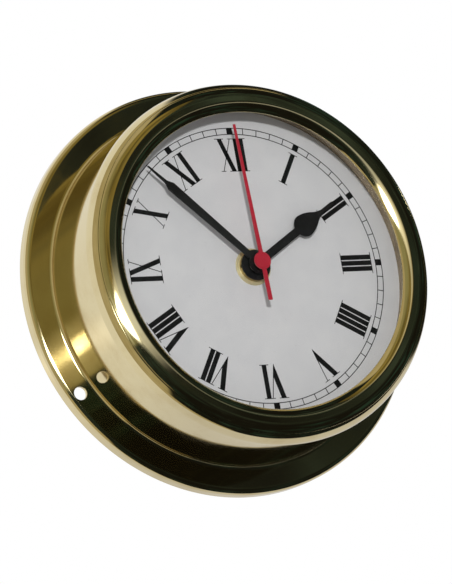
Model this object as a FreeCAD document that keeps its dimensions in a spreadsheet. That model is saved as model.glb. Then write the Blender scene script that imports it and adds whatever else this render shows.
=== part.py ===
import FreeCAD, Part
import math
import os
import Sketcher
from FreeCAD import Placement, Rotation, Vector

# A brass bulkhead clock with a quartz movement, in millimetres.
# The origin is the centre of the back plane, where the rim of the case rests on the wall.
# The clock faces -Y, XII o'clock is up (+Z), and +X is the side of III o'clock.
# A depth is a distance in front of the wall, so a point at depth 10 has y = -10.

DIMENSIONS = [
    # The case: one spun sheet with a skirt, a flange, a drum and a rolled shoulder.
    ("base_radius", 76.0),
    ("sheet_thickness", 1.3),
    ("flange_depth", 5.2),
    ("skirt_edge_radius", 2.1),
    ("screw_circle_radius", 71.4),
    ("screw_hole_radius", 2.4),
    ("screw_count", 3),
    ("drum_radius", 66.0),
    ("drum_foot_radius", 1.2),
    ("roll_radius", 6.25),
    ("roll_centre_depth", 36.1),
    ("seam_angle", 54.0),
    ("seam_gap_angle", 0.6),
    # The ring soldered inside the drum: it seats the dial and takes the bezel's thread.
    ("solder_film", 0.05),
    ("seat_inner_radius", 60.4),
    ("seat_thickness", 2.0),
    ("thread_bore_radius", 62.08),
    ("seat_ring_top", 36.0),
    # The bezel, its glass and what holds the glass.
    ("neck_radius", 62.02),
    ("bezel_bore_radius", 58.4),
    ("crest_inner_radius", 58.1),
    ("crest_edge_radius", 5.2),
    ("lip_radius", 54.4),
    ("lip_underside", 40.35),
    ("glass_radius", 58.3),
    ("glass_front", 40.3),
    ("glass_thickness", 1.35),
    ("gasket_inner_radius", 56.9),
    ("gasket_thickness", 0.7),
    ("stack_gap", 0.03),
    ("spring_wire_radius", 0.45),
    ("spring_depth", 37.7),
    ("spring_split_angle", 8.0),
    ("groove_radius", 58.95),
    ("groove_half_width", 0.5),
    # The dial and what clamps it to the movement.
    ("dial_face", 30.6),
    ("dial_thickness", 0.8),
    ("dial_radius", 61.9),
    ("dial_hole_radius", 4.15),
    ("rubber_washer_radius", 7.0),
    ("rubber_washer_thickness", 0.8),
    ("brass_washer_radius", 6.75),
    ("brass_washer_thickness", 0.6),
    ("brass_washer_chamfer", 0.2),
    ("nut_radius", 5.5),
    ("nut_thickness", 1.2),
    ("nut_slot_width", 1.2),
    ("bush_radius", 4.0),
    ("bush_bore_radius", 2.65),
    ("bush_top", 32.4),
    ("bush_flange_radius", 5.2),
    ("bush_flange_thickness", 0.5),
    ("thread_gap", 0.05),
    # The hands.
    ("hand_thickness", 0.4),
    ("hour_hand_level", 32.9),
    ("hour_hand_angle", 57.7),
    ("hour_hand_length", 41.4),
    ("hour_boss_radius", 5.6),
    ("hour_stem_half_width", 1.5),
    ("hour_spade_start", 22.4),
    ("hour_spade_middle", 26.2),
    ("hour_spade_half_width", 4.15),
    ("hour_shoulder", 31.4),
    ("hour_shoulder_half_width", 2.4),
    ("hour_neck_start", 36.0),
    ("hour_neck_half_width", 0.65),
    ("hour_lobe_radius", 3.8),
    ("hour_flank_radius", 13.0),
    ("hour_hollow_radius", 10.0),
    ("minute_hand_level", 35.4),
    ("minute_hand_angle", 314.9),
    ("minute_hand_length", 51.9),
    ("minute_boss_radius", 3.8),
    ("minute_root_half_width", 1.15),
    ("minute_shoulder", 41.1),
    ("minute_shoulder_half_width", 1.72),
    ("minute_neck_start", 43.5),
    ("minute_neck_half_width", 0.62),
    ("minute_tip_half_width", 0.25),
    ("second_hand_level", 38.2),
    ("second_hand_angle", 357.9),
    ("second_hand_length", 50.6),
    ("second_boss_radius", 3.2),
    ("second_cap_radius", 2.9),
    ("second_cap_rise", 0.2),
    ("second_root_half_width", 0.8),
    ("second_tip_half_width", 0.45),
    ("second_tail_length", 14.4),
    ("second_tail_half_width", 0.8),
    ("collet_wall", 0.4),
    ("collet_flange", 0.8),
    ("collet_flange_thickness", 0.4),
    ("second_tube_radius", 1.5),
    ("second_tube_length", 1.6),
    ("press_gap", 0.02),
    ("running_gap", 0.07),
    # The movement's plastic case, middle plate and cover.
    ("movement_half_side", 28.0),
    ("movement_corner_radius", 3.0),
    ("movement_back", 13.5),
    ("movement_wall", 1.2),
    ("bay_wall_top", -10.8),
    ("bay_wall_thickness", 0.9),
    ("bay_wall_half_length", 24.6),
    ("cover_gap", 0.1),
    ("post_side", 23.5),
    ("post_low", -4.5),
    ("post_high", 14.0),
    ("post_radius", 1.6),
    ("pin_radius", 1.0),
    ("plate_back", 21.5),
    ("plate_thickness", 0.8),
    ("plate_half_width", 25.2),
    ("plate_bottom", -10.3),
    ("plate_top", 17.0),
    ("plate_centre_hole_radius", 1.7),
    # The wheels: arbor distances and directions, modules, tooth counts and levels.
    ("third_distance", 10.2),
    ("third_direction", 110.0),
    ("intermediate_distance", 7.2),
    ("intermediate_direction", 30.0),
    ("rotor_distance", 7.0),
    ("rotor_direction", 20.0),
    ("motion_distance", 9.6),
    ("motion_direction", 190.0),
    ("knob_direction", 180.0),
    ("pinion_teeth", 8),
    ("rotor_mesh_wheel_teeth", 48),
    ("second_wheel_teeth", 40),
    ("third_wheel_teeth", 60),
    ("centre_wheel_teeth", 64),
    ("cannon_teeth", 12),
    ("motion_wheel_teeth", 36),
    ("motion_pinion_teeth", 10),
    ("hour_wheel_teeth", 40),
    ("knob_teeth", 12),
    ("rotor_level", 19.4),
    ("second_level", 20.6),
    ("third_level", 22.6),
    ("centre_level", 23.7),
    ("cannon_level", 25.0),
    ("hour_level", 26.3),
    ("thin_wheel", 0.6),
    ("thick_wheel", 0.8),
    ("arbor_radius", 0.5),
    ("pivot_radius", 0.4),
    ("pivot_gap", 0.05),
    ("pivot_length", 0.8),
    ("plate_pivot_length", 0.6),
    ("stud_radius", 0.8),
    ("stud_back", 24.8),
    ("second_arbor_radius", 0.8),
    ("second_arbor_front", 38.1),
    ("second_arbor_step", 23.4),
    ("minute_pipe_radius", 1.88),
    ("minute_pipe_back", 23.5),
    ("hour_pipe_radius", 2.58),
    ("magnet_radius", 2.6),
    ("magnet_back", 16.6),
    ("magnet_length", 2.2),
    ("knob_arbor_radius", 1.0),
    ("knob_radius", 4.5),
    ("knob_back", 10.3),
    ("knob_length", 2.9),
    ("knob_ridges", 24),
    # The electrical parts.
    ("stator_back", 17.3),
    ("stator_thickness", 0.8),
    ("stator_hole_radius", 3.1),
    ("stator_left", -8.0),
    ("stator_right", 18.0),
    ("stator_arm_width", 3.5),
    ("stator_bottom", 2.0),
    ("stator_shoulder", 9.6),
    ("stator_inner_left", 7.7),
    ("stator_bridge", 13.0),
    ("stator_top", 24.6),
    ("core_width", 3.0),
    ("bobbin_left", -3.6),
    ("bobbin_length", 17.2),
    ("bobbin_flange_radius", 3.1),
    ("bobbin_flange_thickness", 0.8),
    ("bobbin_barrel_radius", 2.1),
    ("winding_radius", 2.75),
    ("board_left", -25.4),
    ("board_right", -9.0),
    ("board_bottom", 4.0),
    ("board_top", 19.0),
    ("board_thickness", 1.0),
    ("crystal_radius", 1.0),
    ("crystal_length", 6.0),
    ("crystal_left", -20.0),
    ("crystal_height", 16.5),
    ("chip_radius", 2.6),
    ("chip_thickness", 0.8),
    ("chip_across", -15.0),
    ("chip_height", 8.5),
    ("battery_radius", 7.15),
    ("battery_length", 49.2),
    ("battery_left", -24.9),
    ("battery_axis_depth", 20.55),
    ("battery_axis_height", -19.3),
    ("battery_edge_radius", 0.6),
    ("battery_nub_radius", 2.7),
    ("battery_nub_length", 1.1),
    ("contact_thickness", 0.4),
    ("contact_offset", 25.5),
    ("contact_bottom", -24.0),
    ("contact_back", 16.9),
    ("contact_front", 24.0),
    ("contact_spring_radius", 3.0),
    ("contact_tail_bottom", -9.6),
    ("contact_tail_width", 2.0),
    ("contact_tail_left", -12.0),
]

doc = FreeCAD.newDocument("bulkhead_clock")
sheet = doc.addObject("Spreadsheet::Sheet", "Sizes")
parts = []


class Size:
    """A size with its value now and the sheet expression that gives it."""

    def __init__(self, value, text):
        self.value = value
        self.text = text

    def __add__(self, other):
        other = as_size(other)
        return Size(self.value + other.value, "(%s + %s)" % (self.text, other.text))

    def __sub__(self, other):
        other = as_size(other)
        return Size(self.value - other.value, "(%s - %s)" % (self.text, other.text))

    def __mul__(self, other):
        other = as_size(other)
        return Size(self.value * other.value, "(%s * %s)" % (self.text, other.text))

    def __truediv__(self, other):
        other = as_size(other)
        return Size(self.value / other.value, "(%s / %s)" % (self.text, other.text))

    def __neg__(self):
        return Size(-self.value, "(-%s)" % self.text)


def as_size(number):
    """A plain number as a Size."""
    if isinstance(number, Size):
        return number
    return Size(float(number), repr(float(number)))


def cosine(angle):
    """The cosine of a Size in degrees."""
    return Size(math.cos(math.radians(angle.value)), "cos(%s * 1deg)" % angle.text)


def sine(angle):
    """The sine of a Size in degrees."""
    return Size(math.sin(math.radians(angle.value)), "sin(%s * 1deg)" % angle.text)


def fill_sheet():
    """Write the driving dimensions into the sheet, one alias to a row."""
    for row, (alias, value) in enumerate(DIMENSIONS, start=1):
        sheet.set("A%d" % row, alias)
        sheet.set("B%d" % row, str(value))
        sheet.setAlias("B%d" % row, alias)
    doc.recompute()


def dim(alias):
    """A driving dimension as a Size."""
    return Size(float(sheet.get(alias)), "Sizes." + alias)


def num(alias):
    """A driving dimension as a plain number, for the shapes that are set in code."""
    return float(sheet.get(alias))


def bind(item, prop, size):
    """Set a property of an object from an expression."""
    item.setExpression(prop, as_size(size).text)


def keep(item, name):
    """Name an object as one of the clock's pieces."""
    item.Label = name
    parts.append(item)
    return item


# Sketches -----------------------------------------------------------------------------

def pin_value(sketch, kind, geometry, point, size):
    """Fix one coordinate of a point from the sheet, or put the point on an axis."""
    if abs(size.value) < 1e-9:
        axis = -2 if kind == "DistanceX" else -1
        sketch.addConstraint(Sketcher.Constraint("PointOnObject", geometry, point, axis))
        return
    if size.value > 0:
        ends = (-1, 1, geometry, point)
    else:
        ends = (geometry, point, -1, 1)
        size = -size
    index = sketch.addConstraint(Sketcher.Constraint(kind, *ends, size.value))
    sketch.setExpression("Constraints[%d]" % index, size.text)


def arc_between(start, end, radius, turn):
    """An arc from start to end: turn is 1 for anticlockwise and -1 for clockwise."""
    chord = end - start
    rise = math.sqrt(max(radius ** 2 - (chord.Length / 2) ** 2, 0))
    across = Vector(-chord.y, chord.x, 0).normalize()
    centre = (start + end) / 2 + across * rise * turn
    first = math.atan2(start.y - centre.y, start.x - centre.x)
    last = math.atan2(end.y - centre.y, end.x - centre.x)
    circle = Part.Circle(centre, Vector(0, 0, 1), radius)
    if turn < 0:
        first, last = last, first
    if last < first:
        last += 2 * math.pi
    return Part.ArcOfCircle(circle, first, last)


def draw_outline(sketch, corners, arcs=None):
    """A closed outline through corners; arcs maps an edge's number to (radius, turn)."""
    arcs = arcs or {}
    corners = [(as_size(x), as_size(y)) for x, y in corners]
    points = [Vector(x.value, y.value, 0) for x, y in corners]
    starts, ends = [], []
    for edge, start in enumerate(points):
        end = points[(edge + 1) % len(points)]
        if edge in arcs:
            radius, turn = arcs[edge]
            curve = arc_between(start, end, as_size(radius).value, turn)
            geometry = sketch.addGeometry(curve, False)
            index = sketch.addConstraint(
                Sketcher.Constraint("Radius", geometry, as_size(radius).value))
            bind(sketch, "Constraints[%d]" % index, radius)
            first, last = (1, 2) if turn > 0 else (2, 1)
        else:
            geometry = sketch.addGeometry(Part.LineSegment(start, end), False)
            first, last = 1, 2
        starts.append((geometry, first))
        ends.append((geometry, last))
    for edge, (x, y) in enumerate(corners):
        sketch.addConstraint(
            Sketcher.Constraint("Coincident", *ends[edge - 1], *starts[edge]))
        pin_value(sketch, "DistanceX", *starts[edge], x)
        pin_value(sketch, "DistanceY", *starts[edge], y)


def draw_circle(sketch, across, up, radius):
    """A circle in a sketch, its centre and radius from the sheet."""
    across, up, radius = as_size(across), as_size(up), as_size(radius)
    circle = Part.Circle(Vector(across.value, up.value, 0), Vector(0, 0, 1), radius.value)
    geometry = sketch.addGeometry(circle, False)
    pin_value(sketch, "DistanceX", geometry, 3, across)
    pin_value(sketch, "DistanceY", geometry, 3, up)
    index = sketch.addConstraint(Sketcher.Constraint("Radius", geometry, radius.value))
    bind(sketch, "Constraints[%d]" % index, radius)


def rectangle(left, right, bottom, top):
    """The four corners of an upright rectangle."""
    return [(left, bottom), (right, bottom), (right, top), (left, top)]


def new_sketch(body, name, plane):
    """A sketch on one of the body's own origin planes."""
    sketch = body.newObject("Sketcher::SketchObject", name)
    for feature in body.Origin.OriginFeatures:
        if feature.Role == plane:
            sketch.AttachmentSupport = [(feature, "")]
    sketch.MapMode = "FlatFace"
    return sketch


def front_sketch(body, name, depth):
    """A sketch facing the viewer: x is across and y is up, at a depth."""
    sketch = new_sketch(body, name, "XZ_Plane")
    depth = as_size(depth)
    sketch.AttachmentOffset = Placement(Vector(0, 0, depth.value), Rotation())
    bind(sketch, "AttachmentOffset.Base.z", depth)
    return sketch


# Features -----------------------------------------------------------------------------

def lathe(name, corners, arcs=None):
    """A turned piece from its half section in radius and depth, spun about the Y axis."""
    body = doc.addObject("PartDesign::Body", name)
    sketch = new_sketch(body, name + "_section", "XY_Plane")
    draw_outline(sketch, [(radius, -as_size(depth)) for radius, depth in corners], arcs)
    turned = body.newObject("PartDesign::Revolution", name + "_turned")
    turned.Profile = sketch
    turned.ReferenceAxis = (sketch, ["V_Axis"])
    turned.Angle = 360
    return keep(body, name)


def ring(name, outer, inner, back, thickness):
    """A plain turned ring."""
    front = back + thickness
    return lathe(name, [(inner, back), (outer, back), (outer, front), (inner, front)])


def pad(body, sketch, length):
    """Raise a front sketch towards the viewer."""
    raised = body.newObject("PartDesign::Pad", sketch.Name + "_pad")
    raised.Profile = sketch
    bind(raised, "Length", length)
    return raised


def cut(body, sketch, length):
    """Cut a front sketch towards the viewer, and check that it removed something."""
    doc.recompute()
    before = body.Shape.Volume
    pocket = body.newObject("PartDesign::Pocket", sketch.Name + "_cut")
    pocket.Profile = sketch
    pocket.Reversed = True
    bind(pocket, "Length", length)
    doc.recompute()
    if body.Shape.Volume > before - 1e-3:
        raise RuntimeError(pocket.Name + " removed nothing")
    return pocket


def plate(name, corners, back, thickness, holes=(), arcs=None):
    """A flat piece that faces the viewer, with round holes given as (across, up, radius)."""
    body = doc.addObject("PartDesign::Body", name)
    sketch = front_sketch(body, name + "_outline", back)
    draw_outline(sketch, corners, arcs)
    for across, up, radius in holes:
        draw_circle(sketch, across, up, radius)
    pad(body, sketch, thickness)
    return keep(body, name)


def place(item, across=0, depth=0, up=0):
    """Bind an object's place to the sheet."""
    bind(item, "Placement.Base.x", across)
    bind(item, "Placement.Base.y", -as_size(depth))
    bind(item, "Placement.Base.z", up)


def turn_clockwise(item, angle):
    """Turn an object clockwise, as the viewer sees it, about the clock's axis."""
    item.Placement = Placement(Vector(), Rotation(Vector(0, 1, 0), angle.value))
    bind(item, "Placement.Rotation.Angle", angle)


# Wheels -------------------------------------------------------------------------------

TOOTH_ADDENDUM = 0.85
TOOTH_DEDENDUM = 1.2
ROOT_SHARE = 0.27
PITCH_SHARE = 0.20
TIP_SHARE = 0.09
SLEEVE_OVERLAP = 0.1


def tooth_corners(teeth, module):
    """(radius, angle from the tooth's centre) of the corners of one tooth."""
    pitch = 2 * math.pi / teeth
    pitch_radius = teeth * module / 2
    root = pitch_radius - TOOTH_DEDENDUM * module
    tip = pitch_radius + TOOTH_ADDENDUM * module
    flank = [(root, ROOT_SHARE * pitch), (pitch_radius, PITCH_SHARE * pitch), (tip, TIP_SHARE * pitch)]
    rising = [(radius, -angle) for radius, angle in flank]
    falling = [(radius, angle) for radius, angle in reversed(flank)]
    return rising + falling


def toothed_disc(teeth, module, level, thickness, phase=0.0):
    """A spur wheel about the Y axis: phase is the angle of a tooth, from +X towards +Z."""
    corners = []
    for tooth in range(int(teeth)):
        middle = phase + 2 * math.pi * tooth / teeth
        for radius, angle in tooth_corners(teeth, module):
            corners.append(Vector(radius * math.cos(middle + angle), -level,
                                  radius * math.sin(middle + angle)))
    face = Part.Face(Part.makePolygon(corners + corners[:1]))
    return face.extrude(Vector(0, -thickness, 0))


def sleeve_radius(teeth, module):
    """The radius of a sleeve that just covers the roots of a pinion's teeth."""
    return module * teeth / 2 - TOOTH_DEDENDUM * module + SLEEVE_OVERLAP


def mesh_phase(direction, teeth, phase, other_teeth):
    """The phase that puts another wheel in mesh with this one, along a direction."""
    direction = math.radians(direction)
    shift = teeth * (phase - direction) / (2 * math.pi)
    return direction + math.pi + 2 * math.pi / other_teeth * (0.5 - shift)


def rod(radius, back, front):
    """A solid rod along the clock's axis between two depths."""
    return Part.makeCylinder(radius, front - back, Vector(0, -back, 0), Vector(0, -1, 0))


def set_shape(name, shape, arbor=None):
    """A piece whose shape is made in code, moved to its arbor's place."""
    item = doc.addObject("Part::Feature", name)
    item.Shape = shape
    if arbor:
        place(item, across=arbor[0], up=arbor[1])
    return keep(item, name)


def fused(first, *others):
    """One solid from several that touch."""
    return first.multiFuse(list(others)).removeSplitter()


def arbor_places():
    """Where each arbor of the movement stands: across and up, as Sizes."""
    places = {"centre": (as_size(0), as_size(0))}
    steps = [
        ("third", "centre", "third_distance", "third_direction"),
        ("intermediate", "centre", "intermediate_distance", "intermediate_direction"),
        ("rotor", "intermediate", "rotor_distance", "rotor_direction"),
        ("motion", "centre", "motion_distance", "motion_direction"),
        ("knob", "motion", "motion_distance", "knob_direction"),
    ]
    for name, start, distance, direction in steps:
        across = places[start][0] + dim(distance) * cosine(dim(direction))
        up = places[start][1] + dim(distance) * sine(dim(direction))
        places[name] = (across, up)
    return places


# The case and the bezel -----------------------------------------------------------------

def make_case_shell():
    """Skirt, flange, drum and rolled shoulder, from one sheet, with the wall screws' holes."""
    sheet_t = dim("sheet_thickness")
    base, drum = dim("base_radius"), dim("drum_radius")
    face, edge = dim("flange_depth"), dim("skirt_edge_radius")
    foot, roll = dim("drum_foot_radius"), dim("roll_radius")
    roll_depth = dim("roll_centre_depth")
    roll_axis = drum - roll
    seam = dim("seam_angle")
    inner_roll = roll - sheet_t
    corners = [
        (base - sheet_t, 0),
        (base, 0),
        (base, face - edge),
        (base - edge, face),
        (drum + foot, face),
        (drum, face + foot),
        (drum, roll_depth),
        (roll_axis + roll * cosine(seam), roll_depth + roll * sine(seam)),
        (roll_axis + inner_roll * cosine(seam), roll_depth + inner_roll * sine(seam)),
        (drum - sheet_t, roll_depth),
        (drum - sheet_t, face + foot),
        (drum + foot, face - sheet_t),
        (base - edge, face - sheet_t),
        (base - sheet_t, face - edge),
    ]
    arcs = {
        2: (edge, -1),
        4: (foot, 1),
        6: (roll, -1),
        8: (inner_roll, 1),
        10: (foot + sheet_t, -1),
        12: (edge - sheet_t, 1),
    }
    body = lathe("case_shell", corners, arcs)
    hole = front_sketch(body, "screw_hole", 0)
    draw_circle(hole, 0, dim("screw_circle_radius"), dim("screw_hole_radius"))
    first = cut(body, hole, face + 1)
    pattern = body.newObject("PartDesign::PolarPattern", "screw_holes")
    pattern.Originals = [first]
    for feature in body.Origin.OriginFeatures:
        if feature.Role == "Y_Axis":
            pattern.Axis = (feature, [""])
    pattern.Angle = 360
    pattern.Occurrences = int(num("screw_count"))
    body.Tip = pattern


def make_seat_ring():
    """The ring inside the drum, with a ledge for the dial and a bore for the bezel's neck."""
    outer = dim("drum_radius") - dim("sheet_thickness") - dim("solder_film")
    ledge = dim("dial_face") - dim("dial_thickness")
    back = ledge - dim("seat_thickness")
    bore, inner, top = dim("thread_bore_radius"), dim("seat_inner_radius"), dim("seat_ring_top")
    lathe("dial_seat_ring", [(inner, back), (outer, back), (outer, top), (bore, top),
                             (bore, ledge), (inner, ledge)])


def make_bezel():
    """The bezel: a threaded neck, the inner half of the roll and the lip over the glass."""
    neck, bore, lip = dim("neck_radius"), dim("bezel_bore_radius"), dim("lip_radius")
    roll, roll_depth = dim("roll_radius"), dim("roll_centre_depth")
    roll_axis = dim("drum_radius") - roll
    seam = dim("seam_angle") + dim("seam_gap_angle")
    crest = roll_depth + roll
    seam_slope = sine(seam) / cosine(seam)
    crest_inner, edge = dim("crest_inner_radius"), dim("crest_edge_radius")
    fall = crest_inner - lip
    drop = Size((edge.value ** 2 - fall.value ** 2) ** 0.5,
                "sqrt(%s ^ 2 - %s ^ 2)" % (edge.text, fall.text))
    groove, spring, half = dim("groove_radius"), dim("spring_depth"), dim("groove_half_width")
    foot = dim("dial_face") + dim("thread_gap")
    corners = [
        (bore, foot),
        (neck, foot),
        (neck, roll_depth + (neck - roll_axis) * seam_slope),
        (roll_axis + roll * cosine(seam), roll_depth + roll * sine(seam)),
        (roll_axis, crest),
        (crest_inner, crest),
        (lip, crest - edge + drop),
        (lip, dim("lip_underside")),
        (bore, dim("lip_underside")),
        (bore, spring + half),
        (groove, spring + half),
        (groove, spring - half),
        (bore, spring - half),
    ]
    lathe("bezel_ring", corners, {3: (roll, -1), 5: (edge, -1)})


def make_glazing():
    """The glass, the gasket behind it and the split wire ring that holds both in the bezel."""
    glass_back = dim("glass_front") - dim("glass_thickness")
    ring("glass_gasket", dim("glass_radius"), dim("gasket_inner_radius"),
         glass_back - dim("stack_gap") - dim("gasket_thickness"), dim("gasket_thickness"))
    lathe("glass_lens", [(0, glass_back), (dim("glass_radius"), glass_back),
                         (dim("glass_radius"), dim("glass_front")), (0, dim("glass_front"))])
    wire = Part.makeTorus(num("bezel_bore_radius"), num("spring_wire_radius"),
                          Vector(0, -num("spring_depth"), 0), Vector(0, -1, 0), 0, 360,
                          360 - num("spring_split_angle"))
    set_shape("glass_spring_ring", wire)


# The dial, its fastening and the hands ----------------------------------------------------

def make_dial_stack():
    """The dial plate and the pieces that clamp it on the movement's threaded bush."""
    face, dial_back = dim("dial_face"), dim("dial_face") - dim("dial_thickness")
    hole, bush = dim("dial_hole_radius"), dim("bush_radius")
    ring("dial_plate", dim("dial_radius"), hole, dial_back, dim("dial_thickness"))
    ring("rubber_washer", dim("rubber_washer_radius"), hole,
         dial_back - dim("rubber_washer_thickness"), dim("rubber_washer_thickness"))
    outer, chamfer = dim("brass_washer_radius"), dim("brass_washer_chamfer")
    top = face + dim("brass_washer_thickness")
    lathe("brass_washer", [(hole, face), (outer, face), (outer, top - chamfer),
                           (outer - chamfer, top), (hole, top)])
    nut = ring("centre_nut", dim("nut_radius"), bush + dim("thread_gap"), top, dim("nut_thickness"))
    slots = front_sketch(nut, "nut_slots", top + dim("nut_thickness") / 2)
    half = dim("nut_slot_width") / 2
    draw_outline(slots, rectangle(-dim("nut_radius") - 1, dim("nut_radius") + 1, -half, half))
    cut(nut, slots, dim("nut_thickness"))
    inside = movement_front() - dim("movement_wall")
    bore, flange = dim("bush_bore_radius"), dim("bush_flange_radius")
    under = inside - dim("bush_flange_thickness")
    lathe("centre_bush", [(bore, under), (flange, under), (flange, inside), (bush, inside),
                          (bush, dim("bush_top")), (bore, dim("bush_top"))])


def movement_front():
    """The depth of the movement's front face, behind the rubber washer."""
    return dim("dial_face") - dim("dial_thickness") - dim("rubber_washer_thickness")


def make_hand(name, boss, outline, level, angle, bore=None, arcs=None, cap=None):
    """A flat hand drawn pointing up, with a round boss, turned to its place. cap is a radius and a rise."""
    body = doc.addObject("PartDesign::Body", name)
    blade = front_sketch(body, name + "_blade", level)
    draw_outline(blade, outline, arcs)
    pad(body, blade, dim("hand_thickness"))
    disc = front_sketch(body, name + "_boss", level)
    draw_circle(disc, 0, 0, boss)
    pad(body, disc, dim("hand_thickness"))
    if cap:
        button = front_sketch(body, name + "_cap", level + dim("hand_thickness"))
        draw_circle(button, 0, 0, cap[0])
        pad(body, button, cap[1])
    if bore:
        hole = front_sketch(body, name + "_hole", level)
        draw_circle(hole, 0, 0, bore)
        cut(body, hole, dim("hand_thickness"))
    turn_clockwise(body, angle)
    return keep(body, name)


def mirrored(side):
    """A closed outline from its right side, given from bottom to top."""
    right = [(as_size(x), as_size(y)) for x, y in side]
    left = [(-x, y) for x, y in reversed(right) if x.value > 1e-9]
    return right + left


def collet_hole(pipe):
    """The radius of the hole in a hand that takes its collet, from the pipe's radius."""
    return pipe + dim("collet_wall") + dim("press_gap") * 2


def make_hour_hand():
    """The spade hour hand: a stem, a leaf-shaped spade and a narrow tip."""
    stem, neck = dim("hour_stem_half_width"), dim("hour_neck_half_width")
    side = [
        (stem, 0),
        (stem, dim("hour_spade_start")),
        (dim("hour_spade_half_width"), dim("hour_spade_middle")),
        (dim("hour_shoulder_half_width"), dim("hour_shoulder")),
        (neck, dim("hour_neck_start")),
        (neck, dim("hour_hand_length")),
    ]
    outline = mirrored(side)
    curves = [(1, (dim("hour_lobe_radius"), 1)), (2, (dim("hour_flank_radius"), 1)),
              (3, (dim("hour_hollow_radius"), -1))]
    arcs = dict(curves)
    for edge, curve in curves:
        arcs[len(outline) - 2 - edge] = curve
    make_hand("hour_hand", dim("hour_boss_radius"), outline, dim("hour_hand_level"),
              dim("hour_hand_angle"), collet_hole(dim("hour_pipe_radius")), arcs)


def make_minute_hand():
    """The minute hand: a straight blade that ends in a short needle."""
    side = [
        (dim("minute_root_half_width"), 0),
        (dim("minute_shoulder_half_width"), dim("minute_shoulder")),
        (dim("minute_neck_half_width"), dim("minute_neck_start")),
        (dim("minute_tip_half_width"), dim("minute_hand_length")),
    ]
    make_hand("minute_hand", dim("minute_boss_radius"), mirrored(side), dim("minute_hand_level"),
              dim("minute_hand_angle"), collet_hole(dim("minute_pipe_radius")))


def make_second_hand():
    """The second hand: a thin taper with a counterweight tail and a low cap over its boss."""
    side = [
        (dim("second_tail_half_width"), -dim("second_tail_length")),
        (dim("second_root_half_width"), 0),
        (dim("second_tip_half_width"), dim("second_hand_length")),
    ]
    cap = (dim("second_cap_radius"), dim("second_cap_rise"))
    make_hand("second_hand", dim("second_boss_radius"), mirrored(side), dim("second_hand_level"),
              dim("second_hand_angle"), cap=cap)


def make_collets():
    """The turned collets that grip the pipes, and the second hand's tube."""
    gap, wall, flange = dim("press_gap"), dim("collet_wall"), dim("collet_flange")
    for name, pipe, level in (("hour_hand_collet", "hour_pipe_radius", "hour_hand_level"),
                              ("minute_hand_collet", "minute_pipe_radius", "minute_hand_level")):
        inner = dim(pipe) + gap
        back = dim(level) - gap - dim("collet_flange_thickness")
        step, front = dim(level) - gap, dim(level) + dim("hand_thickness")
        lathe(name, [(inner, back), (inner + wall + flange, back), (inner + wall + flange, step),
                     (inner + wall, step), (inner + wall, front), (inner, front)])
    ring("second_hand_tube", dim("second_tube_radius"), dim("second_arbor_radius") + gap,
         dim("second_hand_level") - gap - dim("second_tube_length"), dim("second_tube_length"))


# The movement's frame ---------------------------------------------------------------------

def rounded_square(half, radius):
    """The corners and arcs of a square with round corners."""
    straight = half - radius
    corners = [(straight, -half), (half, -straight), (half, straight), (straight, half),
               (-straight, half), (-half, straight), (-half, -straight), (-straight, -half)]
    return corners, {0: (radius, 1), 2: (radius, 1), 4: (radius, 1), 6: (radius, 1)}


def post_places():
    """The four posts of the movement's case, across and up."""
    side, low, high = dim("post_side"), dim("post_low"), dim("post_high")
    return [(side, low), (side, high), (-side, high), (-side, low)]


def make_movement_case(arbors):
    """The front half of the movement's case: a tray with posts, a stud and a battery bay."""
    wall, back, front = dim("movement_wall"), dim("movement_back"), movement_front()
    half, radius = dim("movement_half_side"), dim("movement_corner_radius")
    floor = front - wall
    body = doc.addObject("PartDesign::Body", "movement_case")
    outline = front_sketch(body, "movement_outline", back)
    draw_outline(outline, *rounded_square(half, radius))
    pad(body, outline, front - back)
    cavity = front_sketch(body, "movement_cavity", back)
    draw_outline(cavity, *rounded_square(half - wall, radius - wall))
    cut(body, cavity, floor - back)
    bay = front_sketch(body, "bay_wall", back)
    top, long_half = dim("bay_wall_top"), dim("bay_wall_half_length")
    draw_outline(bay, rectangle(-long_half, long_half, top - dim("bay_wall_thickness"), top))
    pad(body, bay, floor - back)
    posts = front_sketch(body, "posts", dim("plate_back") + dim("plate_thickness"))
    pins = front_sketch(body, "pins", back + wall)
    for across, up in post_places():
        draw_circle(posts, across, up, dim("post_radius"))
        draw_circle(pins, across, up, dim("pin_radius"))
    pad(body, posts, floor - dim("plate_back") - dim("plate_thickness"))
    pad(body, pins, floor - back - wall)
    stud = front_sketch(body, "motion_stud", dim("stud_back"))
    draw_circle(stud, *arbors["motion"], dim("stud_radius"))
    pad(body, stud, floor - dim("stud_back"))
    bores = front_sketch(body, "movement_bores", floor)
    draw_circle(bores, 0, 0, dim("bush_radius") + dim("press_gap"))
    for name in ("third", "knob"):
        draw_circle(bores, *arbors[name], dim("pivot_radius") + dim("pivot_gap"))
    cut(body, bores, wall)
    keep(body, "movement_case")


def make_middle_plate(arbors):
    """The plate between the going train's two halves, on the posts."""
    holes = [(across, up, dim("pin_radius") + dim("pivot_gap")) for across, up in post_places()]
    for name in ("third", "intermediate", "rotor"):
        holes.append((*arbors[name], dim("pivot_radius") + dim("pivot_gap")))
    holes.append((*arbors["knob"], dim("knob_arbor_radius") + dim("running_gap")))
    holes.append((0, 0, dim("plate_centre_hole_radius")))
    outline = rectangle(-dim("plate_half_width"), dim("plate_half_width"),
                        dim("plate_bottom"), dim("plate_top"))
    plate("middle_plate", outline, dim("plate_back"), dim("plate_thickness"), holes)


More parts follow.
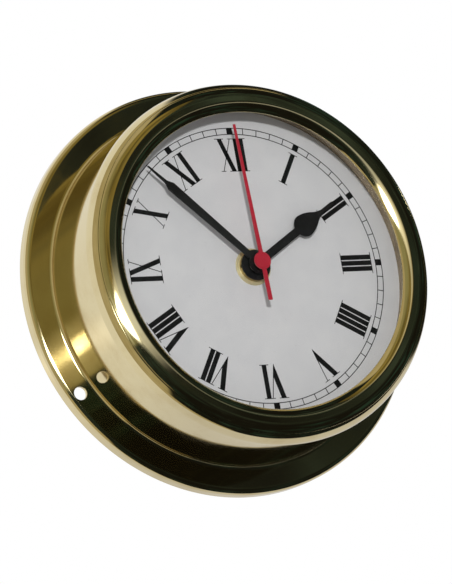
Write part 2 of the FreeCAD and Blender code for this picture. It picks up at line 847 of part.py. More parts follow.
def make_rear_cover(arbors):
    """The cover that closes the movement behind the wheels and leaves the battery open."""
    half = dim("movement_half_side") - dim("movement_wall") - dim("cover_gap")
    radius = dim("movement_corner_radius") - dim("movement_wall")
    low, straight = dim("bay_wall_top") + dim("cover_gap"), half - radius
    corners = [(-half, low), (half, low), (half, straight), (straight, half),
               (-straight, half), (-half, straight)]
    pivot = dim("pivot_radius") + dim("pivot_gap")
    holes = [(0, 0, pivot)]
    for name in ("intermediate", "rotor"):
        holes.append((*arbors[name], pivot))
    holes.append((*arbors["knob"], dim("knob_arbor_radius") + dim("running_gap")))
    plate("movement_cover", corners, dim("movement_back"), dim("movement_wall"), holes,
          {2: (radius, 1), 4: (radius, 1)})


# The wheels and arbors --------------------------------------------------------------------

def make_going_train(arbors):
    """Rotor, intermediate wheel, second wheel, third wheel and centre wheel."""
    pinion, thin = num("pinion_teeth"), num("thin_wheel")
    thick = num("thick_wheel")
    cover_front = num("movement_back") + num("movement_wall")
    plate_back = num("plate_back")
    plate_front = plate_back + num("plate_thickness")
    floor = movement_front().value - num("movement_wall")
    end_shake = num("running_gap")
    arbor, pivot = num("arbor_radius"), num("pivot_radius")
    cover_end = cover_front - num("pivot_length")

    second_pairs = num("second_wheel_teeth") + pinion
    second_module = 2 * num("intermediate_distance") / second_pairs
    rotor_module = 2 * num("rotor_distance") / (num("rotor_mesh_wheel_teeth") + pinion)
    third_module = 2 * num("third_distance") / (num("third_wheel_teeth") + pinion)
    centre_module = 2 * num("third_distance") / (num("centre_wheel_teeth") + pinion)

    rotor_phase = mesh_phase(num("rotor_direction"), num("rotor_mesh_wheel_teeth"), 0, pinion)
    rotor_pinion = toothed_disc(pinion, rotor_module, num("rotor_level"), thin, rotor_phase)
    magnet_end = num("magnet_back") + num("magnet_length")
    body = rod(arbor, cover_front + end_shake, plate_back - end_shake)
    tips = rod(pivot, cover_end, plate_back + num("plate_pivot_length"))
    set_shape("rotor_pinion", fused(body, rotor_pinion, tips), arbors["rotor"])
    magnet = rod(num("magnet_radius"), num("magnet_back"), magnet_end)
    magnet = magnet.cut(rod(arbor + num("press_gap"), 0, magnet_end + 1))
    set_shape("rotor_magnet", magnet, arbors["rotor"])

    wheel = toothed_disc(num("rotor_mesh_wheel_teeth"), rotor_module, num("rotor_level"), thin)
    leaf_phase = mesh_phase(num("intermediate_direction"), num("second_wheel_teeth"), 0, pinion)
    leaves = toothed_disc(pinion, second_module, num("second_level"), thin, leaf_phase)
    set_shape("intermediate_wheel", fused(wheel, leaves, body, tips), arbors["intermediate"])

    wheel = toothed_disc(num("second_wheel_teeth"), second_module, num("second_level"), thin)
    leaf_phase = mesh_phase(num("third_direction") + 180, num("third_wheel_teeth"), 0, pinion)
    leaves = toothed_disc(pinion, third_module, num("third_level"), thin, leaf_phase)
    sleeve = rod(sleeve_radius(pinion, third_module), num("second_level"), num("third_level") + thin)
    bore = rod(arbor + num("press_gap"), 0, num("second_arbor_front"))
    set_shape("second_wheel", fused(wheel, leaves, sleeve).cut(bore))
    step = num("second_arbor_step")
    shaft = fused(rod(num("second_arbor_radius"), step, num("second_arbor_front")),
                  rod(arbor, cover_front + end_shake, step),
                  rod(pivot, cover_end, step))
    set_shape("second_arbor", shaft)

    wheel = toothed_disc(num("third_wheel_teeth"), third_module, num("third_level"), thin)
    leaf_phase = mesh_phase(num("third_direction"), num("centre_wheel_teeth"), 0, pinion)
    leaves = toothed_disc(pinion, centre_module, num("centre_level"), thick, leaf_phase)
    shaft = rod(arbor, plate_front + end_shake, floor - end_shake)
    ends = rod(pivot, plate_front - num("plate_pivot_length"), floor + num("pivot_length"))
    set_shape("third_wheel", fused(wheel, leaves, shaft, ends), arbors["third"])

    wheel = toothed_disc(num("centre_wheel_teeth"), centre_module, num("centre_level"), thick)
    hole = rod(num("minute_pipe_radius") + num("press_gap"), 0, num("bush_top"))
    set_shape("centre_wheel", wheel.cut(hole))


def make_motion_work(arbors):
    """Cannon pinion with the minute pipe, motion wheel, hour wheel with its pipe, and knob."""
    thick, floor = num("thick_wheel"), movement_front().value - num("movement_wall")
    cannon, wheel_teeth = num("cannon_teeth"), num("motion_wheel_teeth")
    leaf_teeth, hour_teeth = num("motion_pinion_teeth"), num("hour_wheel_teeth")
    module = 2 * num("motion_distance") / (cannon + wheel_teeth)
    hour_module = 2 * num("motion_distance") / (leaf_teeth + hour_teeth)
    level, hour_level = num("cannon_level"), num("hour_level")
    hand_front = num("minute_hand_level") + num("hand_thickness")

    pipe = rod(num("minute_pipe_radius"), num("minute_pipe_back"), hand_front)
    leaves = toothed_disc(cannon, module, level, thick)
    bore = rod(num("second_arbor_radius") + num("running_gap"), 0, hand_front + 1)
    set_shape("minute_pipe", fused(pipe, leaves).cut(bore))

    wheel_phase = mesh_phase(num("motion_direction"), cannon, 0, wheel_teeth)
    wheel = toothed_disc(wheel_teeth, module, level, thick, wheel_phase)
    leaves = toothed_disc(leaf_teeth, hour_module, hour_level, thick)
    hub = rod(sleeve_radius(leaf_teeth, hour_module), level, hour_level + thick)
    bore = rod(num("stud_radius") + num("running_gap"), 0, floor)
    set_shape("motion_wheel", fused(wheel, leaves, hub).cut(bore), arbors["motion"])

    hour_phase = mesh_phase(num("motion_direction") - 180, leaf_teeth, 0, hour_teeth)
    wheel = toothed_disc(hour_teeth, hour_module, hour_level, thick, hour_phase)
    pipe_front = num("hour_hand_level") + num("hand_thickness")
    pipe = rod(num("hour_pipe_radius"), hour_level, pipe_front)
    bore = rod(num("minute_pipe_radius") + num("running_gap"), 0, pipe_front + 1)
    set_shape("hour_wheel", fused(wheel, pipe).cut(bore))

    knob_teeth = num("knob_teeth")
    leaf_phase = mesh_phase(num("knob_direction"), wheel_teeth, wheel_phase, knob_teeth)
    leaves = toothed_disc(knob_teeth, module, level, thick, leaf_phase)
    arbor = rod(num("knob_arbor_radius"), num("knob_back"), floor - num("running_gap"))
    tip = rod(num("pivot_radius"), level, floor + num("pivot_length"))
    set_shape("setting_arbor", fused(arbor, leaves, tip), arbors["knob"])

    ridges = toothed_disc(num("knob_ridges"), 2 * num("knob_radius") / num("knob_ridges"),
                          num("knob_back"), num("knob_length"))
    grip = ridges.common(rod(num("knob_radius"), num("knob_back"), num("movement_back")))
    hole = rod(num("knob_arbor_radius") + num("press_gap"), 0, num("movement_back"))
    set_shape("setting_knob", grip.cut(hole), arbors["knob"])


# The electrical parts ---------------------------------------------------------------------

def make_stator(arbors):
    """The stator: a flat yoke round the rotor with two arms up to the coil."""
    left, right, width = dim("stator_left"), dim("stator_right"), dim("stator_arm_width")
    bottom, shoulder, bridge = dim("stator_bottom"), dim("stator_shoulder"), dim("stator_bridge")
    inner, top = dim("stator_inner_left"), dim("stator_top")
    corners = [(inner, bottom), (right, bottom), (right, top), (right - width, top),
               (right - width, bridge), (left + width, bridge), (left + width, top),
               (left, top), (left, shoulder), (inner, shoulder)]
    plate("stator", corners, dim("stator_back"), dim("stator_thickness"),
          [(*arbors["rotor"], dim("stator_hole_radius"))])


def cross_cylinder(name, radius, length, left, depth, up):
    """A cylinder along X."""
    item = doc.addObject("Part::Cylinder", name)
    bind(item, "Radius", radius)
    bind(item, "Height", length)
    item.Placement = Placement(Vector(), Rotation(Vector(0, 1, 0), 90))
    place(item, left, depth, up)
    return item


def block(name, left, right, back, front, bottom, top):
    """A box between two sides, two depths and two heights."""
    item = doc.addObject("Part::Box", name)
    bind(item, "Length", right - left)
    bind(item, "Width", front - back)
    bind(item, "Height", top - bottom)
    place(item, left, front, bottom)
    return item


def combine(kind, name, base, tool):
    """A boolean of two objects: Part::Cut or Part::Fuse."""
    result = doc.addObject(kind, name)
    result.Base = base
    result.Tool = tool
    return result


def make_coil():
    """The coil's core, its bobbin and its winding, across the top of the movement."""
    core_back = dim("stator_back") + dim("stator_thickness") + dim("press_gap")
    core_front, top = core_back + dim("stator_thickness"), dim("stator_top")
    bottom = top - dim("core_width")
    keep(block("coil_core", dim("stator_left"), dim("stator_right"), core_back, core_front,
               bottom, top), "coil_core")
    depth, up = core_back + dim("stator_thickness") / 2, top - dim("core_width") / 2
    left, length, flange = dim("bobbin_left"), dim("bobbin_length"), dim("bobbin_flange_thickness")
    gap = dim("press_gap")
    spool = combine("Part::Fuse", "spool_end",
                    cross_cylinder("spool_barrel", dim("bobbin_barrel_radius"), length, left,
                                   depth, up),
                    cross_cylinder("spool_flange_a", dim("bobbin_flange_radius"), flange, left,
                                   depth, up))
    spool = combine("Part::Fuse", "spool", spool,
                    cross_cylinder("spool_flange_b", dim("bobbin_flange_radius"), flange,
                                   left + length - flange, depth, up))
    slot = block("spool_slot", left - 1, left + length + 1, core_back - gap, core_front + gap,
                 bottom - gap, top + gap)
    keep(combine("Part::Cut", "coil_bobbin", spool, slot), "coil_bobbin")
    winding_left, winding_length = left + flange + gap, length - flange * 2 - gap * 2
    keep(combine("Part::Cut", "coil_winding",
                 cross_cylinder("winding_outside", dim("winding_radius"), winding_length,
                                winding_left, depth, up),
                 cross_cylinder("winding_inside", dim("bobbin_barrel_radius") + gap,
                                winding_length + 2, winding_left - 1, depth, up)),
         "coil_winding")


def make_board():
    """The circuit board with its chip and the quartz crystal."""
    outline = rectangle(dim("board_left"), dim("board_right"), dim("board_bottom"), dim("board_top"))
    back = dim("stator_back")
    hole = (-dim("post_side"), dim("post_high"), dim("pin_radius") + dim("pivot_gap"))
    plate("circuit_board", outline, back, dim("board_thickness"), [hole])
    chip = doc.addObject("Part::Cylinder", "clock_chip")
    bind(chip, "Radius", dim("chip_radius"))
    bind(chip, "Height", dim("chip_thickness"))
    chip.Placement = Placement(Vector(), Rotation(Vector(1, 0, 0), 90))
    place(chip, dim("chip_across"), back - dim("press_gap") - dim("chip_thickness"),
          dim("chip_height"))
    keep(chip, "clock_chip")
    crystal = cross_cylinder("quartz_crystal", dim("crystal_radius"), dim("crystal_length"),
                             dim("crystal_left"), back - dim("press_gap") - dim("crystal_radius"),
                             dim("crystal_height"))
    keep(crystal, "quartz_crystal")


def make_battery():
    """The round cell and the two spring contacts at its ends."""
    depth, up = dim("battery_axis_depth"), dim("battery_axis_height")
    left, length = dim("battery_left"), dim("battery_length")
    can = cross_cylinder("battery_can", dim("battery_radius"), length, left, depth, up)
    rounded = doc.addObject("Part::Fillet", "battery_rounded")
    rounded.Base = can
    edge = num("battery_edge_radius")
    doc.recompute()
    rims = [number for number, item in enumerate(can.Shape.Edges, start=1)
            if isinstance(item.Curve, Part.Circle)]
    rounded.Edges = [(number, edge, edge) for number in rims]
    nub = cross_cylinder("battery_nub", dim("battery_nub_radius"), dim("battery_nub_length") + 1,
                         left + length - 1, depth, up)
    keep(combine("Part::Fuse", "battery_cell", rounded, nub), "battery_cell")

    near, thin = dim("contact_offset"), dim("contact_thickness")
    back, front = dim("contact_back"), dim("contact_front")
    bottom, tail = dim("contact_bottom"), dim("contact_tail_bottom")
    width, gap = dim("contact_tail_width"), dim("press_gap")
    strip_front = dim("stator_back") - gap
    strip_back = strip_front - thin
    face = block("positive_face", near, near + thin, strip_back, front, bottom, tail + width)
    run = block("positive_run", dim("contact_tail_left"), near + thin, strip_back, strip_front,
                tail, tail + width)
    rise = block("positive_rise", dim("contact_tail_left"), dim("contact_tail_left") + width,
                 strip_back, strip_front, tail, dim("board_bottom") + width)
    arm = combine("Part::Fuse", "positive_arm", face, run)
    keep(combine("Part::Fuse", "positive_contact", arm, rise), "positive_contact")

    face = block("negative_face", -near - thin, -near, back, front, bottom,
                 dim("board_bottom") - gap)
    spring_length = near + left - gap * 2
    bump = cross_cylinder("negative_bump", dim("contact_spring_radius"), spring_length, -near,
                          depth, up)
    keep(combine("Part::Fuse", "negative_contact", face, bump), "negative_contact")


# Checks and export ------------------------------------------------------------------------

def check_document():
    """Stop if any object failed to recompute or any piece has no valid solid."""
    for item in doc.Objects:
        bad = [state for state in item.State if state in ("Invalid", "Error")]
        if bad:
            raise RuntimeError("%s is %s" % (item.Name, bad))
    for item in parts:
        shape = item.Shape
        if shape.isNull() or not shape.isValid() or not shape.Solids:
            raise RuntimeError("%s has no valid solid" % item.Label)


def export_parts():
    """Write each piece to its own STEP file."""
    os.makedirs("parts", exist_ok=True)
    for item in parts:
        item.Shape.exportStep("parts/%s.step" % item.Label)


fill_sheet()
arbors = arbor_places()
make_case_shell()
make_seat_ring()
make_bezel()
make_glazing()
make_dial_stack()
make_hour_hand()
make_minute_hand()
make_second_hand()
make_collets()
make_movement_case(arbors)
make_middle_plate(arbors)
make_rear_cover(arbors)
make_going_train(arbors)
make_motion_work(arbors)
make_stator(arbors)
make_coil()
make_board()
make_battery()
doc.recompute()
check_document()
export_parts()
print("pieces:", len(parts))
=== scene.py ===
import math

import bmesh
import bpy
from mathutils import Matrix, Vector


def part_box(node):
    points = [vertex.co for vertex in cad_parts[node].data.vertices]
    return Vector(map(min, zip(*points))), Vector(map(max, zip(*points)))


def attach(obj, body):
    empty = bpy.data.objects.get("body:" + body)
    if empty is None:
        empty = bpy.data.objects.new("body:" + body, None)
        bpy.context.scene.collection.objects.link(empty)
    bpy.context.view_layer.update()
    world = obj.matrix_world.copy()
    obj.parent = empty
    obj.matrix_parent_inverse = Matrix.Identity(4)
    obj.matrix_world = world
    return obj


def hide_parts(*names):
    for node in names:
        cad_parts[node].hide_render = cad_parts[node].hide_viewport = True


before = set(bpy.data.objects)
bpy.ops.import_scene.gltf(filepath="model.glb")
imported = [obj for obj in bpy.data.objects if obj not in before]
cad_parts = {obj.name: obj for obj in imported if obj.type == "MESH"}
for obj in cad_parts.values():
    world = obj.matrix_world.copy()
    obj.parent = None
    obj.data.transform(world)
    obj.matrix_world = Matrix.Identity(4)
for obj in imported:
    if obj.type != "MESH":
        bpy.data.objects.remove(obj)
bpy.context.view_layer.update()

# Lengths are in millimetres, except in the section headed "setting", which is in metres. In a section of a
# turned piece, r is the distance from the clock's axis and d the distance in front of the wall, so that a
# point lies at y = -d.
MM = 0.001


# ---------------------------------------------------------------- meshes

SEGMENTS = 288
SHARP_ANGLE = 40.0
EASED_EDGE = 0.12
EASED_FROM_ANGLE = 25.0
EASED_SHARE_AT_MOST = 0.4
SUPPORT_MARGIN = 0.15
THREAD_PITCH = 1.5
THREAD_DEPTH = 0.4
THREAD_STEEPNESS = 2.2
THREAD_SPACING = 0.19
HOLE_STEPS = 48
CUTTER_OVERSHOOT = 1.0


def around(steps):
    """Angles in equal steps round a circle."""
    return [2 * math.pi * i / steps for i in range(steps)]


def arc(centre, radius, start, end, step):
    """Points of a section on an arc about centre, from angle start to angle end in degrees."""
    count = max(2, round(abs(end - start) / step) + 1)
    angles = [math.radians(start + (end - start) * i / (count - 1)) for i in range(count)]
    return [(centre[0] + radius * math.cos(a), centre[1] + radius * math.sin(a)) for a in angles]


def turn_between(before, here, after):
    """The angle in degrees by which a section turns at one of its points."""
    a, b = Vector(here) - Vector(before), Vector(after) - Vector(here)
    if a.length < 1e-9 or b.length < 1e-9:
        return 0.0
    return math.degrees(a.angle(b))


def eased(points):
    """A closed section with a small round at each sharp corner. Points are (r, d, tag)."""
    result = []
    for i, here in enumerate(points):
        before, after = points[i - 1], points[(i + 1) % len(points)]
        if turn_between(before[:2], here[:2], after[:2]) < EASED_FROM_ANGLE:
            result.append(here)
            continue
        corner = Vector(here[:2])
        towards = Vector(before[:2]) - corner
        onwards = Vector(after[:2]) - corner
        first = corner + towards * min(EASED_EDGE / towards.length, EASED_SHARE_AT_MOST)
        last = corner + onwards * min(EASED_EDGE / onwards.length, EASED_SHARE_AT_MOST)
        middle = (first + corner * 2 + last) / 4
        result += [(*first, before[2]), (*middle, here[2]), (*last, here[2])]
    return result


def supported(points, spacing=None):
    """A closed section with points added on each long straight run: near its ends, which keeps its shading
    flat, or along all of it when spacing says how far apart."""
    result = []
    for i, here in enumerate(points):
        after = points[(i + 1) % len(points)]
        start, end = Vector(here[:2]), Vector(after[:2])
        length = (end - start).length
        result.append(here)
        if length < 4 * SUPPORT_MARGIN:
            continue
        shares = [SUPPORT_MARGIN / length, 1 - SUPPORT_MARGIN / length]
        if spacing:
            count = max(1, round(length / spacing))
            shares = [k / count for k in range(1, count)]
        result += [(*start.lerp(end, share), here[2]) for share in shares]
    return result


def bar(u_from, u_to, v_from, v_to):
    """The corners of an upright rectangle, in any two directions u and v."""
    return [(u_from, v_from), (u_to, v_from), (u_to, v_to), (u_from, v_to)]


def band(first, second, steps):
    """The faces between two closed rings of points, whose first points are at these indices."""
    return [(first + i, first + (i + 1) % steps, second + (i + 1) % steps, second + i) for i in range(steps)]


def outward_mesh(name, vertices, faces):
    """A mesh from points in millimetres, with its normals outward."""
    mesh = bpy.data.meshes.new(name)
    mesh.from_pydata([Vector(v) * MM for v in vertices], [], faces)
    shell = bmesh.new()
    shell.from_mesh(mesh)
    bmesh.ops.recalc_face_normals(shell, faces=shell.faces)
    shell.to_mesh(mesh)
    shell.free()
    return mesh


def placed(name, data):
    """A new object in the scene."""
    made = bpy.data.objects.new(name, data)
    bpy.context.scene.collection.objects.link(made)
    return made


def new_piece(name, vertices, faces, body, finishes, face_finish=None):
    """A smooth-shaded mesh piece that rides on a body."""
    mesh = outward_mesh(name, vertices, faces)
    for finish in finishes:
        mesh.materials.append(finish)
    if face_finish:
        mesh.polygons.foreach_set("material_index", face_finish)
    mesh.shade_smooth()
    mesh.set_sharp_from_angle(angle=math.radians(SHARP_ANGLE))
    made = placed(name, mesh)
    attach(made, body)
    return made


def thread_cut(d, angle):
    """How deep a thread of THREAD_PITCH cuts at a depth and an angle, from 0 to 1."""
    phase = (d / THREAD_PITCH - angle / (2 * math.pi)) % 1.0
    slope = 0.5 + THREAD_STEEPNESS * (0.5 - abs(2 * phase - 1.0))
    return max(0.0, min(1.0, slope))


def lathe(name, runs, body, finishes, threaded=0.0, spacing=None):
    """A closed section swept about the clock's axis.

    runs is a list of (points, finish number, whether it is threaded). threaded is the direction in which
    the thread cuts: +1 outward into a bore, -1 inward into a neck.
    """
    tagged = [(r, d, (finish, cut)) for points, finish, cut in runs for r, d in points]
    section = supported(eased(tagged), spacing)
    vertices, faces, face_finish = [], [], []
    for j, (r, d, (finish, cut)) in enumerate(section):
        for a in around(SEGMENTS):
            here = r + (threaded * THREAD_DEPTH * thread_cut(d, a) if cut else 0.0)
            vertices.append((here * math.cos(a), -d, here * math.sin(a)))
        following = (j + 1) % len(section)
        faces += band(j * SEGMENTS, following * SEGMENTS, SEGMENTS)
        face_finish += [finish] * SEGMENTS
    return new_piece(name, vertices, faces, body, finishes, face_finish)


def extrude(name, shapes, back, front, slot, finish):
    """Flat shapes across the clock's axis, given a thickness, on the case."""
    vertices, faces = [], []
    for shape in shapes:
        first, count = len(vertices), len(shape)
        second = first + count
        for depth in (back, front):
            vertices += [(x, -depth, z) for x, z in shape]
        faces += [tuple(range(first, second)), tuple(range(second, second + count))]
        faces += band(first, second, count)
    new_piece(name, vertices, faces, "case", [finish])


def cut_holes(made, places, radius, chamfer, back, front):
    """Cuts round holes along the clock's axis, each with a small chamfer on its front edge."""
    rings = [(radius, back - CUTTER_OVERSHOOT), (radius, front - chamfer), (radius + chamfer, front),
             (radius + chamfer, front + CUTTER_OVERSHOOT)]
    starts = [j * HOLE_STEPS for j in range(len(rings))]
    faces = [tuple(range(start, start + HOLE_STEPS)) for start in (starts[0], starts[-1])]
    for first, second in zip(starts, starts[1:]):
        faces += band(first, second, HOLE_STEPS)
    for x, z in places:
        vertices = [
            (x + r * math.cos(a), -d, z + r * math.sin(a)) for r, d in rings for a in around(HOLE_STEPS)
        ]
        cutter = placed("cutter", outward_mesh("cutter", vertices, faces))
        modifier = made.modifiers.new("hole", "BOOLEAN")
        modifier.object = cutter
        modifier.solver = "EXACT"
        evaluated = made.evaluated_get(bpy.context.evaluated_depsgraph_get())
        result = bpy.data.meshes.new_from_object(evaluated)
        made.modifiers.clear()
        made.data = result
        bpy.data.objects.remove(cutter)
    made.data.set_sharp_from_angle(angle=math.radians(SHARP_ANGLE))


# ---------------------------------------------------------------- finishes

# The scale of a noise or a pattern is in cells per metre on a piece, and per unit of direction in the world.

class Shader:
    """A node tree put together step by step."""

    def __init__(self, tree):
        self.tree = tree
        tree.nodes.clear()

    def add(self, kind, inputs=None, **settings):
        """Adds a node. inputs maps socket names to numbers, colours or other nodes' outputs."""
        node = self.tree.nodes.new("ShaderNode" + kind)
        for key, value in settings.items():
            setattr(node, key, value)
        for key, value in (inputs or {}).items():
            if isinstance(value, bpy.types.NodeSocket):
                self.tree.links.new(value, node.inputs[key])
            else:
                node.inputs[key].default_value = value
        return node

    def calc(self, operation, a, b=0.0):
        return self.add("Math", {0: a, 1: b}, operation=operation).outputs[0]

    def vector(self, operation, a, b=(0.0, 0.0, 0.0)):
        return self.add("VectorMath", {0: a, 1: b}, operation=operation).outputs["Vector"]

    def measure(self, operation, a, b=(0.0, 0.0, 0.0)):
        """A number from one or two vectors, by LENGTH, DISTANCE or DOT_PRODUCT."""
        return self.add("VectorMath", {0: a, 1: b}, operation=operation).outputs["Value"]

    def mix(self, share, a, b):
        return self.add("MixRGB", {"Fac": share, "Color1": a, "Color2": b}).outputs[0]

    def mix_surface(self, share, a, b):
        return self.add("MixShader", {0: share, 1: a, 2: b}).outputs[0]

    def remap(self, value, low, high, to_low=0.0, to_high=1.0):
        """A smooth step from to_low at low to to_high at high."""
        inputs = {"Value": value, "From Min": low, "From Max": high, "To Min": to_low, "To Max": to_high}
        return self.add("MapRange", inputs, interpolation_type="SMOOTHSTEP").outputs[0]

    def noise(self, vector, scale, detail=2.0, roughness=0.5, distortion=0.0):
        inputs = {"Vector": vector, "Scale": scale, "Detail": detail, "Roughness": roughness,
                  "Distortion": distortion}
        return self.add("TexNoise", inputs).outputs["Fac"]

    def bump(self, height, distance, normal=None):
        inputs = {"Height": height, "Distance": distance, "Strength": 1.0}
        if normal:
            inputs["Normal"] = normal
        return self.add("Bump", inputs).outputs[0]

    def position(self):
        return self.add("TexCoord").outputs["Object"]

    def split(self, vector):
        return self.add("SeparateXYZ", {0: vector}).outputs

    def join(self, x=0.0, y=0.0, z=0.0):
        return self.add("CombineXYZ", {0: x, 1: y, 2: z}).outputs[0]

    def principled(self, **inputs):
        names = {key: key.replace("_", " ").title().replace("Ior", "IOR") for key in inputs}
        renamed = {names[key]: value for key, value in inputs.items()}
        return self.add("BsdfPrincipled", renamed).outputs[0]

    def finish(self, surface):
        self.add("OutputMaterial", {"Surface": surface})


def new_finish(name):
    material = bpy.data.materials.new(name)
    material.use_nodes = True
    return material, Shader(material.node_tree)


def turned_brass(name, colour, deep, polish, brushed, haze, wave=0.012, metallic=1.0):
    """Brass turned in a lathe: fine lines round the axis over a polish, with patches of slight tarnish.

    polish is the roughness of the mirror, brushed the share of light that the lines spread, haze how much
    tarnish dulls it and wave the height in millimetres of the sheet's slow unevenness.
    """
    material, s = new_finish(name)
    place = s.position()
    x, y, z = s.split(place)
    radius = s.measure("LENGTH", s.join(x, 0.0, z))
    along = s.join(radius, y, 0.0)
    fine = s.noise(along, 5200.0, 3.0, 0.7)
    coarse = s.noise(along, 900.0, 2.0, 0.5)
    patches = s.noise(place, 55.0, 4.0, 0.6, 0.4)
    specks = s.remap(s.noise(place, 900.0, 2.0, 0.5), 0.66, 0.72)
    tarnish = s.remap(patches, 0.40, 0.75)
    tint = s.mix(s.calc("MULTIPLY", tarnish, haze), (*colour, 1), (*deep, 1))
    tint = s.mix(s.calc("MULTIPLY", specks, 0.25 * haze), tint, (*deep, 1))
    rough = s.calc("ADD", polish, s.calc("MULTIPLY", tarnish, 0.10 * haze))
    rough = s.calc("ADD", rough, s.calc("MULTIPLY", coarse, 0.03))
    height = s.calc("ADD", s.calc("MULTIPLY", fine, 0.35), s.calc("MULTIPLY", coarse, 0.65))
    slow = s.noise(place, 42.0, 2.0, 0.4)
    normal = s.bump(slow, wave * MM)
    normal = s.bump(height, 0.0003 * MM, normal)
    tangent = s.add("Tangent", direction_type="RADIAL", axis="Y").outputs[0]
    mirror = s.principled(
        base_color=tint, metallic=metallic, roughness=rough, anisotropic=0.45,
        anisotropic_rotation=0.25, tangent=tangent, normal=normal)
    lines = s.principled(
        base_color=tint, metallic=metallic, roughness=0.38, anisotropic=0.95,
        anisotropic_rotation=0.25, tangent=tangent, normal=normal)
    share = s.remap(coarse, 0.3, 0.7, 0.7 * brushed, 1.3 * brushed)
    s.finish(s.mix_surface(share, mirror, lines))
    return material


def painted(name, colour, other, roughness, grain, speck, coat=0.0, shine=0.5):
    """An even coat of paint or enamel with faint mottling, a little orange peel and dust.

    grain is the height of the peel in millimetres, speck how much the dust shows, coat the weight of a
    clear coat and shine the strength of the mirror without it.
    """
    material, s = new_finish(name)
    place = s.position()
    mottle = s.noise(place, 120.0, 4.0, 0.6)
    tint = s.mix(s.remap(mottle, 0.3, 0.7), (*colour, 1), (*other, 1))
    dust = s.remap(s.noise(place, 2600.0, 1.0, 0.5), 0.70, 0.76)
    tint = s.mix(s.calc("MULTIPLY", dust, speck), tint, (0.45, 0.43, 0.40, 1))
    rough = s.remap(s.noise(place, 300.0, 3.0), 0.3, 0.7, roughness * 0.85, roughness * 1.15)
    peel = s.mix(0.35, s.noise(place, 900.0, 2.0), s.noise(place, 4000.0, 2.0))
    s.finish(s.principled(
        base_color=tint, roughness=rough, normal=s.bump(peel, grain * MM), coat_weight=coat,
        coat_roughness=0.15, specular_ior_level=shine))
    return material


def moulded(name, colour, other, roughness, grain, scale=2200.0, sheen=0.0):
    """Moulded plastic or rubber: a spark-eroded grain, flow marks and worn, lighter edges."""
    material, s = new_finish(name)
    place = s.position()
    flow = s.noise(place, 90.0, 3.0, 0.5, 1.2)
    edge = s.remap(s.add("NewGeometry").outputs["Pointiness"], 0.52, 0.60)
    worn = tuple(min(1, 0.12 + 1.2 * c) for c in other)
    tint = s.mix(s.remap(flow, 0.35, 0.7), (*colour, 1), (*other, 1))
    tint = s.mix(s.calc("MULTIPLY", edge, 0.35), tint, (*worn, 1))
    cells = s.add("TexVoronoi", {"Vector": place, "Scale": scale}).outputs["Distance"]
    rough = s.remap(s.noise(place, 500.0, 3.0), 0.3, 0.7, roughness * 0.8, roughness * 1.2)
    normal = s.bump(cells, grain * MM)
    normal = s.bump(s.noise(place, 200.0), 0.01 * MM, normal)
    s.finish(s.principled(base_color=tint, roughness=rough, normal=normal, sheen_weight=sheen))
    return material


def worked_metal(name, colour, deep, roughness, along=None, grain=0.002, metallic=1.0):
    """Ground, drawn or rolled metal, with darker stains and with scratches along x (0), y (1) or no axis."""
    material, s = new_finish(name)
    place = s.position()
    stretch = [2500.0] * 3
    if along is not None:
        stretch[along] = 150.0
    scratches = s.noise(s.vector("MULTIPLY", place, stretch), 1.0, 3.0, 0.6)
    stains = s.remap(s.noise(place, 160.0, 4.0, 0.6), 0.42, 0.72)
    tint = s.mix(stains, (*colour, 1), (*deep, 1))
    rough = s.calc("ADD", s.remap(scratches, 0.3, 0.7, roughness * 0.7, roughness * 1.3),
                   s.calc("MULTIPLY", stains, 0.10))
    normal = s.bump(scratches, grain * MM)
    s.finish(s.principled(base_color=tint, metallic=metallic, roughness=rough, normal=normal))
    return material


def clear_glass(name):
    """Flat clock glass: nearly all light goes straight through, and a smudged surface mirrors the rest.

    Only front faces mirror. Light isn't bent inside this glass, so a back face would wrongly mirror all the
    light that reaches it at a slant.
    """
    material, s = new_finish(name)
    place = s.position()
    smudge = s.remap(s.noise(place, 70.0, 4.0, 0.6, 0.8), 0.45, 0.75)
    rough = s.calc("MULTIPLY", smudge, 0.08)
    normal = s.bump(s.noise(place, 30.0, 1.0), 0.01 * MM)
    clear = s.add("BsdfTransparent", {"Color": (0.985, 0.985, 0.983, 1)}).outputs[0]
    shine = s.add("BsdfGlossy", {"Color": (1, 1, 1, 1), "Roughness": rough, "Normal": normal}).outputs[0]
    outside = s.calc("SUBTRACT", 1.0, s.add("NewGeometry").outputs["Backfacing"])
    share = s.calc("MULTIPLY", s.add("Fresnel", {"IOR": 1.5, "Normal": normal}).outputs[0], outside)
    dusty = s.add("BsdfDiffuse", {"Color": (0.8, 0.8, 0.8, 1)}).outputs[0]
    specks = s.remap(s.noise(place, 2200.0, 1.0), 0.74, 0.78)
    surface = s.mix_surface(share, clear, shine)
    surface = s.mix_surface(s.calc("MULTIPLY", specks, 0.10), surface, dusty)
    shadow = s.add("LightPath").outputs["Is Shadow Ray"]
    s.finish(s.mix_surface(shadow, surface, clear))
    return material


def wound_wire(name, pitch):
    """Enamelled copper wire wound in close turns about the x axis, with painted shade in the grooves between
    turns.
    """
    material, s = new_finish(name)
    place = s.position()
    wander = s.calc("MULTIPLY", s.noise(place, 250.0, 2.0), 0.5 * pitch * MM)
    turns = s.calc("MULTIPLY", s.calc("ADD", s.split(place)[0], wander), 2 * math.pi / (pitch * MM))
    ridge = s.calc("SINE", turns)
    shade = s.remap(s.noise(place, 400.0, 3.0), 0.3, 0.7)
    tint = s.mix(shade, (0.55, 0.20, 0.07, 1), (0.78, 0.34, 0.13, 1))
    # Painted shade: the grooves between the turns are darkened in the colour itself.
    tint = s.mix(s.remap(ridge, -0.4, -1.0), tint, (0.10, 0.03, 0.01, 1))
    s.finish(s.principled(
        base_color=tint, metallic=0.85, roughness=0.3, normal=s.bump(ridge, 0.04 * MM), coat_weight=0.6))
    return material


